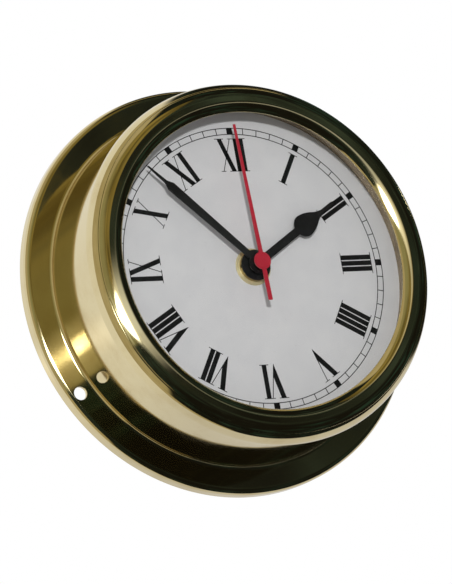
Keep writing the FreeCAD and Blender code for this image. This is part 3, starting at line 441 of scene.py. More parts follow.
def laminate_board(name):
    """Phenolic laminate with copper tracks under a thin varnish."""
    material, s = new_finish(name)
    place = s.position()
    black, white = (0, 0, 0, 1), (1, 1, 1, 1)
    track = s.add("TexBrick", {
        "Vector": place, "Scale": 260.0, "Mortar Size": 0.045, "Color1": black, "Color2": black,
        "Mortar": white}).outputs["Color"]
    fibre = s.noise(place, 1500.0, 4.0, 0.7)
    base = s.mix(fibre, (0.30, 0.19, 0.06, 1), (0.45, 0.31, 0.11, 1))
    tint = s.mix(track, base, (0.62, 0.36, 0.16, 1))
    rough = s.remap(fibre, 0.3, 0.7, 0.30, 0.45)
    s.finish(s.principled(
        base_color=tint, roughness=rough, normal=s.bump(track, 0.03 * MM), coat_weight=0.4))
    return material


def cell_jacket(name, low, high, foot=1.2, button=2.6, plain_share=0.72):
    """A dry cell along x from low to high: a two-tone sleeve between bare steel ends.

    foot and button are the lengths of the bare ends, and plain_share of the cell is in the first colour.
    """
    material, s = new_finish(name)
    place = s.position()
    x = s.split(place)[0]
    inside = s.calc("MULTIPLY", s.calc("GREATER_THAN", x, (low + foot) * MM),
                    s.calc("LESS_THAN", x, (high - button) * MM))
    second_colour = s.calc("GREATER_THAN", x, (low + plain_share * (high - low)) * MM)
    scuffs = s.remap(s.noise(place, 500.0, 4.0, 0.7), 0.60, 0.72)
    tint = s.mix(second_colour, (0.035, 0.055, 0.085, 1), (0.45, 0.24, 0.10, 1))
    tint = s.mix(s.calc("MULTIPLY", scuffs, 0.3), tint, (0.4, 0.4, 0.4, 1))
    sleeve = s.principled(base_color=tint, roughness=0.28, coat_weight=0.5,
                          normal=s.bump(s.noise(place, 300.0, 2.0), 0.02 * MM))
    stain = s.noise(place, 220.0, 3.0)
    steel = s.principled(base_color=s.mix(stain, (0.75, 0.74, 0.71, 1), (0.50, 0.49, 0.47, 1)),
                         metallic=1.0, roughness=s.remap(stain, 0.3, 0.7, 0.18, 0.34))
    s.finish(s.mix_surface(inside, steel, sleeve))
    return material


polished = turned_brass(
    "polished_brass", (0.67, 0.575, 0.345), (0.52, 0.40, 0.19), polish=0.04, brushed=0.0, haze=0.4)
# A duller brass for the inside of the bezel, whose darker colour is painted shade for the shadow under the
# lip.
shaded = turned_brass(
    "bezel_inside_shaded_brass", (0.44, 0.36, 0.26), (0.30, 0.23, 0.15), polish=0.16, brushed=0.3, haze=0.8,
    wave=0.004)
spun = turned_brass(
    "spun_brass_inside", (0.52, 0.40, 0.20), (0.34, 0.24, 0.10), polish=0.34, brushed=0.5, haze=0.7,
    wave=0.03)
washer = turned_brass(
    "washer_brass", (0.84, 0.74, 0.44), (0.70, 0.58, 0.30), polish=0.30, brushed=0.4, haze=0.6, wave=0.004,
    metallic=0.35)
turned = turned_brass(
    "turned_brass", (0.60, 0.47, 0.24), (0.36, 0.25, 0.11), polish=0.20, brushed=0.5, haze=0.8, wave=0.004)

enamel = painted(
    "dial_enamel", (0.80, 0.803, 0.815), (0.76, 0.765, 0.782), roughness=0.50, grain=0.004, speck=0.10)
ink = painted(
    "dial_ink", (0.006, 0.006, 0.0065), (0.012, 0.012, 0.013), roughness=0.50, grain=0.004, speck=0.02,
    shine=0.15)
black_lacquer = painted(
    "hand_black_lacquer", (0.009, 0.009, 0.010), (0.018, 0.018, 0.019), roughness=0.34, grain=0.006,
    speck=0.08, coat=0.1, shine=0.25)
red_lacquer = painted(
    "hand_red_lacquer", (0.56, 0.020, 0.046), (0.48, 0.015, 0.036), roughness=0.36, grain=0.006,
    speck=0.05, coat=0.3)
mark_paint = painted(
    "mark_paint", (0.42, 0.42, 0.41), (0.34, 0.34, 0.33), roughness=0.55, grain=0.01, speck=0.10)

glass = clear_glass("flat_glass")
rubber = moulded(
    "black_rubber", (0.012, 0.012, 0.012), (0.03, 0.03, 0.03), roughness=0.75, grain=0.02, scale=1500.0,
    sheen=0.2)
black_case = moulded(
    "case_plastic", (0.013, 0.013, 0.014), (0.024, 0.024, 0.025), roughness=0.48, grain=0.035)
knob_plastic = moulded(
    "knob_plastic", (0.018, 0.018, 0.019), (0.03, 0.03, 0.03), roughness=0.42, grain=0.02)
acetal = moulded(
    "wheel_acetal", (0.74, 0.72, 0.65), (0.66, 0.63, 0.55), roughness=0.36, grain=0.008, scale=3000.0)
chip = moulded(
    "chip_resin", (0.006, 0.006, 0.007), (0.014, 0.014, 0.014), roughness=0.22, grain=0.01, scale=700.0)

dial_back = worked_metal(
    "dial_back_metal", (0.52, 0.52, 0.51), (0.44, 0.435, 0.42), roughness=0.42, along=0)
spring = worked_metal("spring_steel", (0.56, 0.56, 0.54), (0.30, 0.28, 0.25), roughness=0.28, along=0)
arbor_steel = worked_metal("arbor_steel", (0.62, 0.62, 0.62), (0.40, 0.39, 0.37), roughness=0.20, along=1)
soft_iron = worked_metal("soft_iron", (0.46, 0.46, 0.47), (0.25, 0.23, 0.21), roughness=0.38, along=0)
magnet = worked_metal(
    "sintered_magnet", (0.10, 0.10, 0.11), (0.05, 0.05, 0.05), roughness=0.5, grain=0.01, metallic=0.6)
can = worked_metal("crystal_can", (0.74, 0.74, 0.75), (0.52, 0.51, 0.48), roughness=0.16, along=0)
winding = wound_wire("copper_winding", pitch=0.16)
board = laminate_board("laminate_board")
cell = cell_jacket("battery_sleeve", low=-24.9, high=25.4)

NODE_FINISH = {
    "glass_spring_ring": spring, "rubber_washer": rubber, "brass_washer": washer, "centre_nut": turned,
    "centre_bush": turned, "hour_hand": black_lacquer, "hour_hand_collet": black_lacquer,
    "minute_hand": black_lacquer, "minute_hand_collet": black_lacquer, "second_hand": red_lacquer,
    "second_hand_tube": turned, "movement_case": black_case, "movement_cover": black_case,
    "middle_plate": acetal, "hour_wheel": acetal, "minute_pipe": turned, "centre_wheel": acetal,
    "motion_wheel": acetal, "second_wheel": acetal, "second_arbor": arbor_steel, "third_wheel": acetal,
    "intermediate_wheel": acetal, "rotor_pinion": acetal, "rotor_magnet": magnet, "setting_arbor": acetal,
    "setting_knob": knob_plastic, "stator": soft_iron, "coil_core": soft_iron, "coil_bobbin": acetal,
    "coil_winding": winding, "circuit_board": board, "clock_chip": chip, "quartz_crystal": can,
    "positive_contact": spring, "negative_contact": spring, "battery_cell": cell,
}
NODE_BEVEL = {
    "brass_washer": 0.18, "centre_nut": 0.10, "hour_hand": 0.07, "hour_hand_collet": 0.08,
    "minute_hand": 0.07, "minute_hand_collet": 0.08, "second_hand": 0.06, "second_hand_tube": 0.05,
    "movement_case": 0.25, "movement_cover": 0.20, "setting_knob": 0.12, "middle_plate": 0.10,
    "coil_bobbin": 0.10, "coil_winding": 0.15, "circuit_board": 0.05, "quartz_crystal": 0.12,
    "rubber_washer": 0.12, "positive_contact": 0.05, "negative_contact": 0.05, "battery_cell": 0.20,
    "stator": 0.05, "coil_core": 0.05, "rotor_magnet": 0.12,
}
BEVEL_FROM_ANGLE = 35.0


def finish_nodes():
    """Gives each CAD node that is shown its material, and eased edges where NODE_BEVEL says how wide."""
    for name, material in NODE_FINISH.items():
        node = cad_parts[name]
        node.data.materials.clear()
        node.data.materials.append(material)
        if name in NODE_BEVEL:
            bevel = node.modifiers.new("eased_edges", "BEVEL")
            bevel.width = NODE_BEVEL[name] * MM
            bevel.segments = 2
            bevel.limit_method = "ANGLE"
            bevel.angle_limit = math.radians(BEVEL_FROM_ANGLE)


# ---------------------------------------------------------------- case, bezel and glass

SHEET = 1.3
RIM_RADIUS = 76.0
RIM_ROUND = 2.1
FLANGE_FRONT = 5.2
DRUM_RADIUS = 66.0
FOOT_ROUND = 1.2
SHOULDER_ROUND = 6.25
SHOULDER_DEPTH = 36.1
SEAM_ANGLE = 54.0
SEAM_GAP_ANGLE = 0.6
RIM_CENTRE = (RIM_RADIUS - RIM_ROUND, FLANGE_FRONT - RIM_ROUND)
FOOT_CENTRE = (DRUM_RADIUS + FOOT_ROUND, FLANGE_FRONT + FOOT_ROUND)
SHOULDER_CENTRE = (DRUM_RADIUS - SHOULDER_ROUND, SHOULDER_DEPTH)

HOLE_CIRCLE = 71.4
HOLE_RADIUS = 2.4
HOLE_CHAMFER = 0.12
HOLE_ANGLES = (0, 120, 240)

CREST = SHOULDER_DEPTH + SHOULDER_ROUND
NECK_RADIUS = 62.02
NECK_BACK = 30.65
THREAD_BACK = 31.0
THREAD_FRONT = 36.4
SEAM_FRONT = 39.25
BEZEL_BORE = 58.4
INNER_ROUND = 5.2
INNER_ROUND_RADIUS = 58.1
INNER_ROUND_END = 131.5
LIP_RADIUS = 54.4
LIP_BACK = 40.35
LIP_ROUND = 0.35
LIP_ROUND_DEPTH = 40.62
GROOVE_RADIUS = 58.95
GROOVE_BACK = 37.2
GROOVE_FRONT = 38.2

SEAT_BORE = 60.4
SEAT_RADIUS = 64.65
SEAT_BACK = 27.8
SEAT_FRONT = 36.0
SEAT_THREAD_RADIUS = 62.08
SEAT_THREAD_BACK = 30.4
SEAT_THREAD_FRONT = 35.6
DIAL_BACK = 29.8

GLASS_RADIUS = 58.3
GLASS_BACK = 38.95
GLASS_FRONT = 40.3
GASKET_BORE = 56.9
GASKET_BACK = 38.22
GASKET_FRONT = 38.92
PINHOLE = 0.02


def make_case_shell():
    outer = [(RIM_RADIUS, 0.0)] + arc(RIM_CENTRE, RIM_ROUND, 0, 90, step=7.5)
    outer += arc(FOOT_CENTRE, FOOT_ROUND, 270, 180, step=10)
    outer += arc(SHOULDER_CENTRE, SHOULDER_ROUND, 0, SEAM_ANGLE, step=3)
    inner = arc(SHOULDER_CENTRE, SHOULDER_ROUND - SHEET, SEAM_ANGLE, 0, step=4)
    inner += arc(FOOT_CENTRE, FOOT_ROUND + SHEET, 180, 270, step=10)
    inner += arc(RIM_CENTRE, RIM_ROUND - SHEET, 90, 0, step=15) + [(RIM_RADIUS - SHEET, 0.0)]
    shell = lathe("case_shell_fine", [(outer, 0, False), (inner, 1, False)], "case",
                  [polished, spun])
    rays = [math.radians(angle) for angle in HOLE_ANGLES]
    places = [(HOLE_CIRCLE * math.sin(a), HOLE_CIRCLE * math.cos(a)) for a in rays]
    cut_holes(shell, places, HOLE_RADIUS, HOLE_CHAMFER, FLANGE_FRONT - SHEET, FLANGE_FRONT)
    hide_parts("case_shell")


def make_bezel_ring():
    neck = [(BEZEL_BORE, NECK_BACK), (NECK_RADIUS, NECK_BACK)]
    thread = [(NECK_RADIUS, THREAD_BACK), (NECK_RADIUS, THREAD_FRONT)]
    roll = [(NECK_RADIUS, SEAM_FRONT)]
    roll += arc(SHOULDER_CENTRE, SHOULDER_ROUND, SEAM_ANGLE + SEAM_GAP_ANGLE, 90, step=3)
    roll += arc((INNER_ROUND_RADIUS, CREST - INNER_ROUND), INNER_ROUND, 90, INNER_ROUND_END, step=2.5)
    roll += arc((LIP_RADIUS + LIP_ROUND, LIP_ROUND_DEPTH), LIP_ROUND, INNER_ROUND_END, 180, step=15)
    under = [
        (LIP_RADIUS, LIP_BACK), (BEZEL_BORE, LIP_BACK), (BEZEL_BORE, GROOVE_FRONT),
        (GROOVE_RADIUS, GROOVE_FRONT), (GROOVE_RADIUS, GROOVE_BACK), (BEZEL_BORE, GROOVE_BACK),
    ]
    # The neck, the thread and the parts under the lip take finish 1, the brass whose darker colour paints
    # their shade.
    runs = [(neck, 1, False), (thread, 1, True), (roll, 0, False), (under, 1, False)]
    ring = lathe("bezel_ring_fine", runs, "bezel", [polished, shaded], threaded=-1.0,
                 spacing=THREAD_SPACING)
    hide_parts("bezel_ring")


def make_seat_ring():
    plain = [(SEAT_BORE, SEAT_BACK), (SEAT_RADIUS, SEAT_BACK), (SEAT_RADIUS, SEAT_FRONT),
             (SEAT_THREAD_RADIUS, SEAT_FRONT)]
    thread = [(SEAT_THREAD_RADIUS, SEAT_THREAD_FRONT), (SEAT_THREAD_RADIUS, SEAT_THREAD_BACK)]
    ledge = [(SEAT_THREAD_RADIUS, DIAL_BACK), (SEAT_BORE, DIAL_BACK)]
    ring = lathe("dial_seat_ring_fine", [(plain, 0, False), (thread, 0, True), (ledge, 0, False)],
                 "case", [turned], threaded=1.0, spacing=THREAD_SPACING)
    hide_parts("dial_seat_ring")


def make_glazing():
    """The gasket and the lens, which is returned. A pinhole keeps the lens's section off the axis."""
    disc = bar(PINHOLE, GLASS_RADIUS, GLASS_BACK, GLASS_FRONT)
    lens = lathe("glass_lens_fine", [(disc, 0, False)], "glazing", [glass])
    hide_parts("glass_lens")
    section = bar(GASKET_BORE, GLASS_RADIUS, GASKET_BACK, GASKET_FRONT)
    gasket = lathe("glass_gasket_fine", [(section, 0, False)], "glazing", [rubber])
    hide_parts("glass_gasket")
    return lens


# ---------------------------------------------------------------- dial

DIAL_RADIUS = 61.9
DIAL_BORE = 4.15
DIAL_FRONT = 30.6
INK_THICKNESS = 0.03
INK_SUNK = 0.01
TRACK_INNER = 49.6
TRACK_OUTER = 51.9
TRACK_STEPS = 240
HAIRLINE = 0.30
BLOCK_WIDTH = 2.3
NUMERAL_BASE = 35.6
NUMERAL_HEIGHT = 12.4
STROKE = 1.78
STROKE_PITCH = 2.14
LETTER_GAP = 0.40
WIDE_LETTER_SHIFT = 0.5
SERIF = 0.26
SERIF_REACH = 0.9
X_RUN = 4.3
V_WIDTH = 5.6
V_TIP = 3.05
V_STROKE = 1.1 * STROKE
HOURS = ["XII", "I", "II", "III", "IIII", "V", "VI", "VII", "VIII", "IX", "X", "XI"]


def make_dial():
    metal = [(DIAL_BORE, DIAL_FRONT), (DIAL_BORE, DIAL_BACK), (DIAL_RADIUS, DIAL_BACK)]
    front = [(DIAL_RADIUS, DIAL_FRONT)]
    dial = lathe("dial_plate_fine", [(metal, 1, False), (front, 0, False)], "case",
                 [enamel, dial_back])
    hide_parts("dial_plate")


def slanted(u_low, u_high, width):
    """A stroke from the base line to the top line, u_low and u_high being its left edge at each."""
    return [(u_low, 0), (u_low + width, 0), (u_high + width, NUMERAL_HEIGHT), (u_high, NUMERAL_HEIGHT)]


def serifs(spans, top):
    """Hairlines under or over strokes; spans are the strokes' (left, right) edges on that line."""
    low, high = (NUMERAL_HEIGHT - SERIF, NUMERAL_HEIGHT) if top else (0.0, SERIF)
    return [bar(a - SERIF_REACH, b + SERIF_REACH, low, high) for a, b in spans]


def glyph(letter):
    """The shapes of one Roman letter from u = 0, with its width: stroke to stroke, without serifs."""
    if letter == "I":
        stem = [(0, STROKE)]
        return [bar(0, STROKE, 0, NUMERAL_HEIGHT)] + serifs(stem, True) + serifs(stem, False), STROKE
    if letter == "X":
        middle = STROKE / 2
        thick = slanted(X_RUN, 0.0, STROKE)
        thin = slanted(middle - HAIRLINE / 2, X_RUN + middle - HAIRLINE / 2, HAIRLINE)
        low = serifs([(middle, middle), (X_RUN, X_RUN + STROKE)], False)
        high = serifs([(0, STROKE), (X_RUN + middle, X_RUN + middle)], True)
        return [thick, thin] + low + high, X_RUN + STROKE
    crotch = V_STROKE / V_WIDTH
    thick = [(V_TIP, 0), (V_TIP + (V_WIDTH - V_TIP) * crotch, NUMERAL_HEIGHT * crotch),
             (V_STROKE, NUMERAL_HEIGHT), (0, NUMERAL_HEIGHT)]
    thin = slanted(V_TIP - HAIRLINE / 2, V_WIDTH - HAIRLINE, HAIRLINE)
    return [thick, thin] + serifs([(0, V_STROKE), (V_WIDTH - HAIRLINE, V_WIDTH)], True), V_WIDTH


def numeral(text):
    """A Roman numeral about u = 0, set a little towards the side of a single wide letter."""
    strokes, cursor = [], 0.0
    for i, letter in enumerate(text):
        if i:
            plain_pair = letter == "I" and text[i - 1] == "I"
            cursor += STROKE_PITCH - STROKE if plain_pair else LETTER_GAP
        shapes, width = glyph(letter)
        strokes += [[(u + cursor, v) for u, v in shape] for shape in shapes]
        cursor += width
    middle = cursor / 2 + WIDE_LETTER_SHIFT * ((text[0] != "I") - (text[-1] != "I"))
    return [[(u - middle, v) for u, v in shape] for shape in strokes]


def on_dial(u, v, angle):
    """A point at v out from the centre and u clockwise of the ray at a clock angle in degrees."""
    a = math.radians(angle)
    return (v * math.sin(a) + u * math.cos(a), v * math.cos(a) - u * math.sin(a))


def ring_shapes(radius):
    """A hairline circle on the dial, in short pieces."""
    inner, outer = radius - HAIRLINE / 2, radius + HAIRLINE / 2
    shapes = []
    for i in range(TRACK_STEPS):
        a, b = 360 * i / TRACK_STEPS, 360 * (i + 1) / TRACK_STEPS
        corners = [(inner, a), (outer, a), (outer, b), (inner, b)]
        shapes.append([on_dial(0, v, angle) for v, angle in corners])
    return shapes


def print_ink(name, shapes):
    """Flat shapes printed on the dial as a thin film."""
    extrude(name, shapes, DIAL_FRONT - INK_SUNK, DIAL_FRONT + INK_THICKNESS, "dial_white", ink)


def print_dial():
    """The minute track, with a block at each hour, and the twelve numerals."""
    track = ring_shapes(TRACK_INNER) + ring_shapes(TRACK_OUTER)
    for minute in range(60):
        half = (BLOCK_WIDTH if minute % 5 == 0 else HAIRLINE) / 2
        mark = bar(-half, half, TRACK_INNER, TRACK_OUTER)
        track.append([on_dial(u, v, 6 * minute) for u, v in mark])
    print_ink("dial_minute_track", track)
    for hour, text in enumerate(HOURS):
        shapes = [
            [on_dial(u, NUMERAL_BASE + v, 30 * hour) for u, v in shape] for shape in numeral(text)
        ]
        print_ink("dial_numeral_%02d" % (hour or 12), shapes)


# ---------------------------------------------------------------- marks on the movement's back

MARK_HEIGHT = 0.12
MARK_SUNK = 0.05
MARK_HALF_WIDTH = 0.3
POLE_ARM = 1.4
POLE_INSET = 5.0
POLE_ABOVE_CELL = 3.4
ARROW_RADIUS = 6.3
ARROW_ANGLES = range(-55, 36, 5)
ARROW_HEAD = [(0, 1.1), (2.0, 0), (0, -1.1)]


def mark_movement():
    """Raised marks: the battery's poles, and an arrow for the way the knob sets the hands forward."""
    cell_low, cell_high = [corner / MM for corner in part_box("battery_cell")]
    knob_low, knob_high = [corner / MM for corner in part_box("setting_knob")]
    surface = -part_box("movement_case")[1].y / MM
    depths = (surface - MARK_HEIGHT, surface + MARK_SUNK)

    height = cell_high.z + POLE_ABOVE_CELL
    minus, plus = cell_low.x + POLE_INSET, cell_high.x - POLE_INSET
    flat = (height - MARK_HALF_WIDTH, height + MARK_HALF_WIDTH)
    poles = [
        bar(plus - POLE_ARM, plus + POLE_ARM, *flat),
        bar(plus - MARK_HALF_WIDTH, plus + MARK_HALF_WIDTH, height - POLE_ARM, height + POLE_ARM),
        bar(minus - POLE_ARM, minus + POLE_ARM, *flat),
    ]
    extrude("battery_pole_marks", poles, *depths, "case_plastic", mark_paint)

    knob = (knob_low + knob_high) / 2
    bow = [on_dial(0, ARROW_RADIUS + MARK_HALF_WIDTH, a) for a in ARROW_ANGLES]
    bow += [on_dial(0, ARROW_RADIUS - MARK_HALF_WIDTH, a) for a in reversed(ARROW_ANGLES)]
    head = [on_dial(u, ARROW_RADIUS + v, ARROW_ANGLES[-1]) for u, v in ARROW_HEAD]
    arrow = [[(x + knob.x, z + knob.z) for x, z in shape] for shape in (bow, head)]
    extrude("setting_arrow_mark", arrow, *depths, "case_plastic", mark_paint)


# ---------------------------------------------------------------- setting

TARGET = Vector((0.0, -0.0306, 0.0))
CAMERA_AZIMUTH = -27.78
CAMERA_ELEVATION = -14.09
CAMERA_ROLL = -9.78
CAMERA_DISTANCE = 1.0414
CAMERA_SHIFT = (-0.009484, -0.008751)
CAMERA_LENS = 182.3

KEY_DIRECTION = Vector((-0.36, -0.93, 0.04)).normalized()
KEY_DISTANCE = 1.1
KEY_SIZE = 0.08
KEY_POWER = 5.5

GLOW_LENGTH = 0.66
GLOW_HEIGHT = 0.18
GLOW_CENTRE = Vector((-0.095, -0.339, 0.000))
GLOW_ALONG = Vector((0.955, 0.0, 0.297))
GLOW_ACROSS = Vector((-0.297, 0.0, 0.955))
GLOW_COLOUR = (0.97, 1.0, 0.99, 1)
# The patches of light on the glow strip, each an ellipse: its middle and its half size along and across the
# strip, the square of the share of that size within which it has its full strength, and that strength.
GLOW_PATCHES = {
    "core": ((0.0, 0.0), (0.145, 0.036), 0.3, 10.0),
    "halo": ((0.0, 0.0), (0.24, 0.05), 0.1, 0.4),
    "glare": ((0.10, 0.006), (0.22, 0.034), 0.0, 0.85),
    "spot": ((-0.155, 0.008), (0.009, 0.028), 0.0, 9.0),
    "ring": ((-0.155, 0.0), (0.06, 0.085), 0.0, 0.45),
}

FLOOR_HEIGHT = -0.45
FLOOR_RADIUS = 1.6
FLOOR_FADE = (0.6, 1.5)
FLOOR_FILL = 0.5

# The studio that the brass mirrors. A zone is where the mirrored direction goes far enough along a vector,
# and a pair of numbers says how far it goes where the zone begins and where it is complete. The card's edge
# is different: CARD_EDGE_FROM and CARD_EDGE_TO each pair a distance along FRONT with the edge's place there.
FRONT = (0.0, -1.0, 0.0)
FRONT_HALF = (-0.01, 0.01)
FACING = (0.650, 0.670)
CLOTH_RIGHT = (1.0, 0.0, 0.16)
CLOTH_RIGHT_EDGE = (0.440, 0.430)
CLOTH_TOP = (-0.522, 0.0, 1.0)
CLOTH_LOW_EDGE = (-0.002, 0.020)
MOSS_BELOW_CLOTH = (-0.32, -0.01)
CARD_SIDE = (-0.943, 0.0, 0.334)
CARD_EDGE_FROM = (0.08, -0.35)
CARD_EDGE_TO = (0.24, 0.22)
CARD_EDGE_WIDTH = 0.08
DOWN_RIGHT = (1.0, 0.0, -1.0)
UP_RIGHT = (0.8, 0.0, 0.6)
WALL_RIGHT_EDGE = (0.64, 0.72)
WINDOW_DIRECTION = (-0.47, 0.88, -0.07)
WINDOW_SIZE = 0.13

SOOT = (0.011, 0.011, 0.009, 1)
BOTTLE_GREEN = (0.026, 0.060, 0.052, 1)
DUSTY_GREEN = (0.07, 0.09, 0.07, 1)
MOSS = (0.055, 0.080, 0.066, 1)
TAN = (0.46, 0.40, 0.24, 1)
LIGHT_TAN = (0.56, 0.50, 0.32, 1)
OLIVE = (0.13, 0.105, 0.035, 1)
LIGHT_OLIVE = (0.34, 0.27, 0.085, 1)
PALE_OLIVE = (0.34, 0.33, 0.18, 1)
WARM_WHITE = (0.96, 0.96, 0.95, 1)
COOL_GREY = (0.74, 0.74, 0.76, 1)
WINDOW_WHITE = (1.22, 1.20, 1.16, 1)
MATT_LIGHT = (1.0, 0.99, 0.985, 1)
MATT_STRENGTH = 0.35


def place_camera():
    az, el, roll = (math.radians(a) for a in (CAMERA_AZIMUTH, CAMERA_ELEVATION, CAMERA_ROLL))
    back = Vector((math.sin(az) * math.cos(el), -math.cos(az) * math.cos(el), math.sin(el)))
    right = Vector((0, 0, 1)).cross(back).normalized()
    up = back.cross(right)
    rolled_right = right * math.cos(roll) + up * math.sin(roll)
    rolled_up = up * math.cos(roll) - right * math.sin(roll)
    data = bpy.data.cameras.new("camera")
    data.lens = CAMERA_LENS
    data.clip_start = 0.01
    camera = placed("camera", data)
    at = TARGET + back * CAMERA_DISTANCE + rolled_right * CAMERA_SHIFT[0] + rolled_up * CAMERA_SHIFT[1]
    turn = Matrix((rolled_right, rolled_up, back)).transposed()
    camera.matrix_world = Matrix.Translation(at) @ turn.to_4x4()
    bpy.context.scene.camera = camera


def place_light():
    """A soft light on the matt surfaces, from beside the camera, which the brass doesn't mirror."""
    data = bpy.data.lights.new("soft_key", "AREA")
    data.energy = KEY_POWER
    data.shape = "DISK"
    data.size = KEY_SIZE
    light = placed("soft_key", data)
    light.location = TARGET + KEY_DIRECTION * KEY_DISTANCE
    light.rotation_euler = KEY_DIRECTION.to_track_quat("Z", "Y").to_euler()
    light.visible_glossy = False


def glow_finish():
    """Light for mirrored rays only, in the patches that GLOW_PATCHES gives; clear to all others."""
    material, s = new_finish("strip_glow")
    offset = s.vector("SUBTRACT", s.position(), GLOW_CENTRE)
    u = s.measure("DOT_PRODUCT", offset, GLOW_ALONG)
    v = s.measure("DOT_PRODUCT", offset, GLOW_ACROSS)
    strength = 0.0
    for (middle_u, middle_v), (half_u, half_v), full_part, full_strength in GLOW_PATCHES.values():
        from_u = s.calc("DIVIDE", s.calc("SUBTRACT", u, middle_u), half_u)
        from_v = s.calc("DIVIDE", s.calc("SUBTRACT", v, middle_v), half_v)
        square = s.calc("ADD", s.calc("MULTIPLY", from_u, from_u), s.calc("MULTIPLY", from_v, from_v))
        strength = s.calc("ADD", strength, s.remap(square, 1.0, full_part, 0.0, full_strength))
    light = s.add("Emission", {"Color": GLOW_COLOUR, "Strength": strength}).outputs[0]
    clear = s.add("BsdfTransparent").outputs[0]
    bright = s.add("AddShader", {0: light, 1: clear}).outputs[0]
    mirrored = s.add("LightPath").outputs["Is Glossy Ray"]
    s.finish(s.mix_surface(mirrored, clear, bright))
    return material


def make_glow(unlit):
    """A strip of light near the clock's left front, which shows only as a streak in pieces that mirror it.
    The piece unlit doesn't mirror it."""
    along, across = GLOW_ALONG * GLOW_LENGTH / 2, GLOW_ACROSS * GLOW_HEIGHT / 2
    corners = [GLOW_CENTRE + along * u + across * v for u, v in ((-1, -1), (1, -1), (1, 1), (-1, 1))]
    mesh = bpy.data.meshes.new("glow")
    mesh.from_pydata(corners, [], [(0, 1, 2, 3)])
    mesh.materials.append(glow_finish())
    glow = placed("glow", mesh)
    glow.visible_camera = False
    glow.visible_diffuse = False
    glow.visible_shadow = False
    kept_out = bpy.data.collections.new("unlit_by_glow")
    kept_out.objects.link(unlit)
    glow.light_linking.receiver_collection = kept_out
    for member in kept_out.collection_objects:
        member.light_linking.link_state = "EXCLUDE"


def make_floor():
    """A pale disc far below the clock, which fades into the white background."""
    rim = [(FLOOR_RADIUS * math.cos(a), FLOOR_RADIUS * math.sin(a), FLOOR_HEIGHT) for a in around(96)]
    mesh = bpy.data.meshes.new("floor")
    mesh.from_pydata(rim, [], [tuple(range(len(rim)))])
    floor = placed("floor", mesh)
    material, s = new_finish("pale_floor")
    place = s.position()
    x, y, _ = s.split(place)
    edge = s.remap(s.measure("LENGTH", s.join(x, y, 0.0)), *FLOOR_FADE)
    tint = s.mix(s.noise(place, 12.0, 3.0), (0.86, 0.86, 0.85, 1), (0.90, 0.90, 0.89, 1))
    matt = s.add("BsdfDiffuse", {"Color": tint}).outputs[0]
    fill = s.add("Emission", {"Color": tint, "Strength": FLOOR_FILL}).outputs[0]
    lit = s.add("AddShader", {0: matt, 1: fill}).outputs[0]
    clear = s.add("BsdfTransparent").outputs[0]
    s.finish(s.mix_surface(edge, lit, clear))
    mesh.materials.append(material)
    floor.visible_glossy = False
    floor.visible_diffuse = False


def cloth_zone(s, direction, clutter, fine_clutter, dark):
    """What faces the clock: olive cloth at the left, moss just below its edge, darkness elsewhere."""
    x = s.split(direction)[0]
    olive = s.mix(s.remap(clutter, 0.35, 0.68), OLIVE, LIGHT_OLIVE)
    olive = s.mix(s.remap(x, 0.10, -0.45), olive, PALE_OLIVE)
    above_edge = s.measure("DOT_PRODUCT", direction, CLOTH_TOP)
    on_cloth = s.calc(
        "MULTIPLY", s.remap(s.measure("DOT_PRODUCT", direction, CLOTH_RIGHT), *CLOTH_RIGHT_EDGE),
        s.remap(above_edge, *CLOTH_LOW_EDGE))
    mossy = s.calc(
        "MULTIPLY", s.remap(above_edge, *MOSS_BELOW_CLOTH), s.remap(fine_clutter, 0.40, 0.66))
    return s.mix(on_cloth, s.mix(mossy, dark, MOSS), olive)


def card_zone(s, direction, front, clutter, dark):
    """A tan card round the clock's left side, whose edge moves left towards the front."""
    x, _, z = s.split(direction)
    tan = s.mix(s.remap(clutter, 0.3, 0.7), TAN, LIGHT_TAN)
    sideways = s.calc(
        "DIVIDE", s.measure("DOT_PRODUCT", direction, CARD_SIDE), s.measure("LENGTH", s.join(x, 0.0, z)))
    edge = s.remap(front, CARD_EDGE_FROM[0], CARD_EDGE_TO[0], CARD_EDGE_FROM[1], CARD_EDGE_TO[1])
    return s.mix(s.remap(s.calc("SUBTRACT", sideways, edge), 0.0, CARD_EDGE_WIDTH), dark, tan)


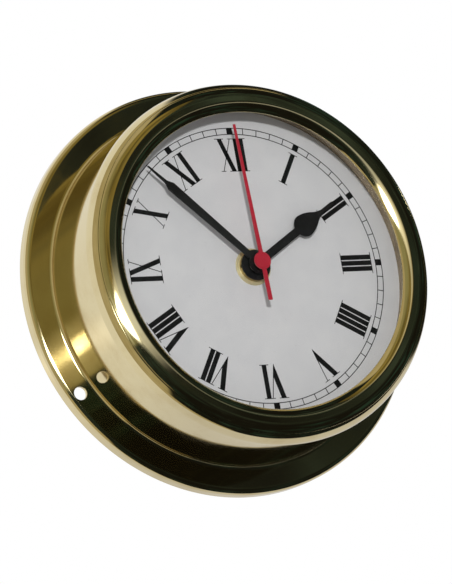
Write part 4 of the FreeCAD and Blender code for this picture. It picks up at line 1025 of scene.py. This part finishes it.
def wall_zone(s, direction, dark):
    """A pale wall behind the clock, with a window's glare, and darkness at the upper right."""
    pale = s.mix(s.remap(s.measure("DOT_PRODUCT", direction, DOWN_RIGHT), -0.3, 0.7), WARM_WHITE, COOL_GREY)
    window = s.remap(s.measure("DISTANCE", direction, WINDOW_DIRECTION), WINDOW_SIZE, 0.0)
    pale = s.mix(window, pale, WINDOW_WHITE)
    return s.mix(s.remap(s.measure("DOT_PRODUCT", direction, UP_RIGHT), *WALL_RIGHT_EDGE), pale, dark)


def make_world():
    """White to the eye, even and soft for matt surfaces, and a studio of zones for the brass."""
    world = bpy.data.worlds.new("studio")
    bpy.context.scene.world = world
    world.use_nodes = True
    s = Shader(world.node_tree)
    direction = s.add("TexCoord").outputs["Generated"]
    front = s.measure("DOT_PRODUCT", direction, FRONT)
    clutter = s.noise(direction, 5.0, 3.0, 0.6, 0.5)
    fine_clutter = s.noise(direction, 16.0, 3.0, 0.6, 1.0)
    dark = s.mix(s.remap(clutter, 0.50, 0.70), SOOT, BOTTLE_GREEN)
    dark = s.mix(s.remap(fine_clutter, 0.64, 0.76), dark, DUSTY_GREEN)
    facing = cloth_zone(s, direction, clutter, fine_clutter, dark)
    beside = card_zone(s, direction, front, clutter, dark)
    behind = wall_zone(s, direction, dark)
    mirrored = s.mix(s.remap(front, *FRONT_HALF), behind, beside)
    mirrored = s.mix(s.remap(front, *FACING), mirrored, facing)
    path = s.add("LightPath").outputs
    for_brass = s.add("Background", {"Color": mirrored}).outputs[0]
    for_matt = s.add("Background", {"Color": MATT_LIGHT, "Strength": MATT_STRENGTH}).outputs[0]
    for_eye = s.add("Background", {"Color": (1, 1, 1, 1)}).outputs[0]
    seen = s.mix_surface(path["Is Diffuse Ray"], for_brass, for_matt)
    seen = s.mix_surface(path["Is Camera Ray"], seen, for_eye)
    s.add("OutputWorld", {"Surface": seen})


make_case_shell()
make_bezel_ring()
make_seat_ring()
lens = make_glazing()
make_dial()
print_dial()
mark_movement()
finish_nodes()
make_world()
place_light()
make_glow(unlit=lens)
make_floor()
place_camera()
bpy.context.scene.view_settings.view_transform = "Standard"
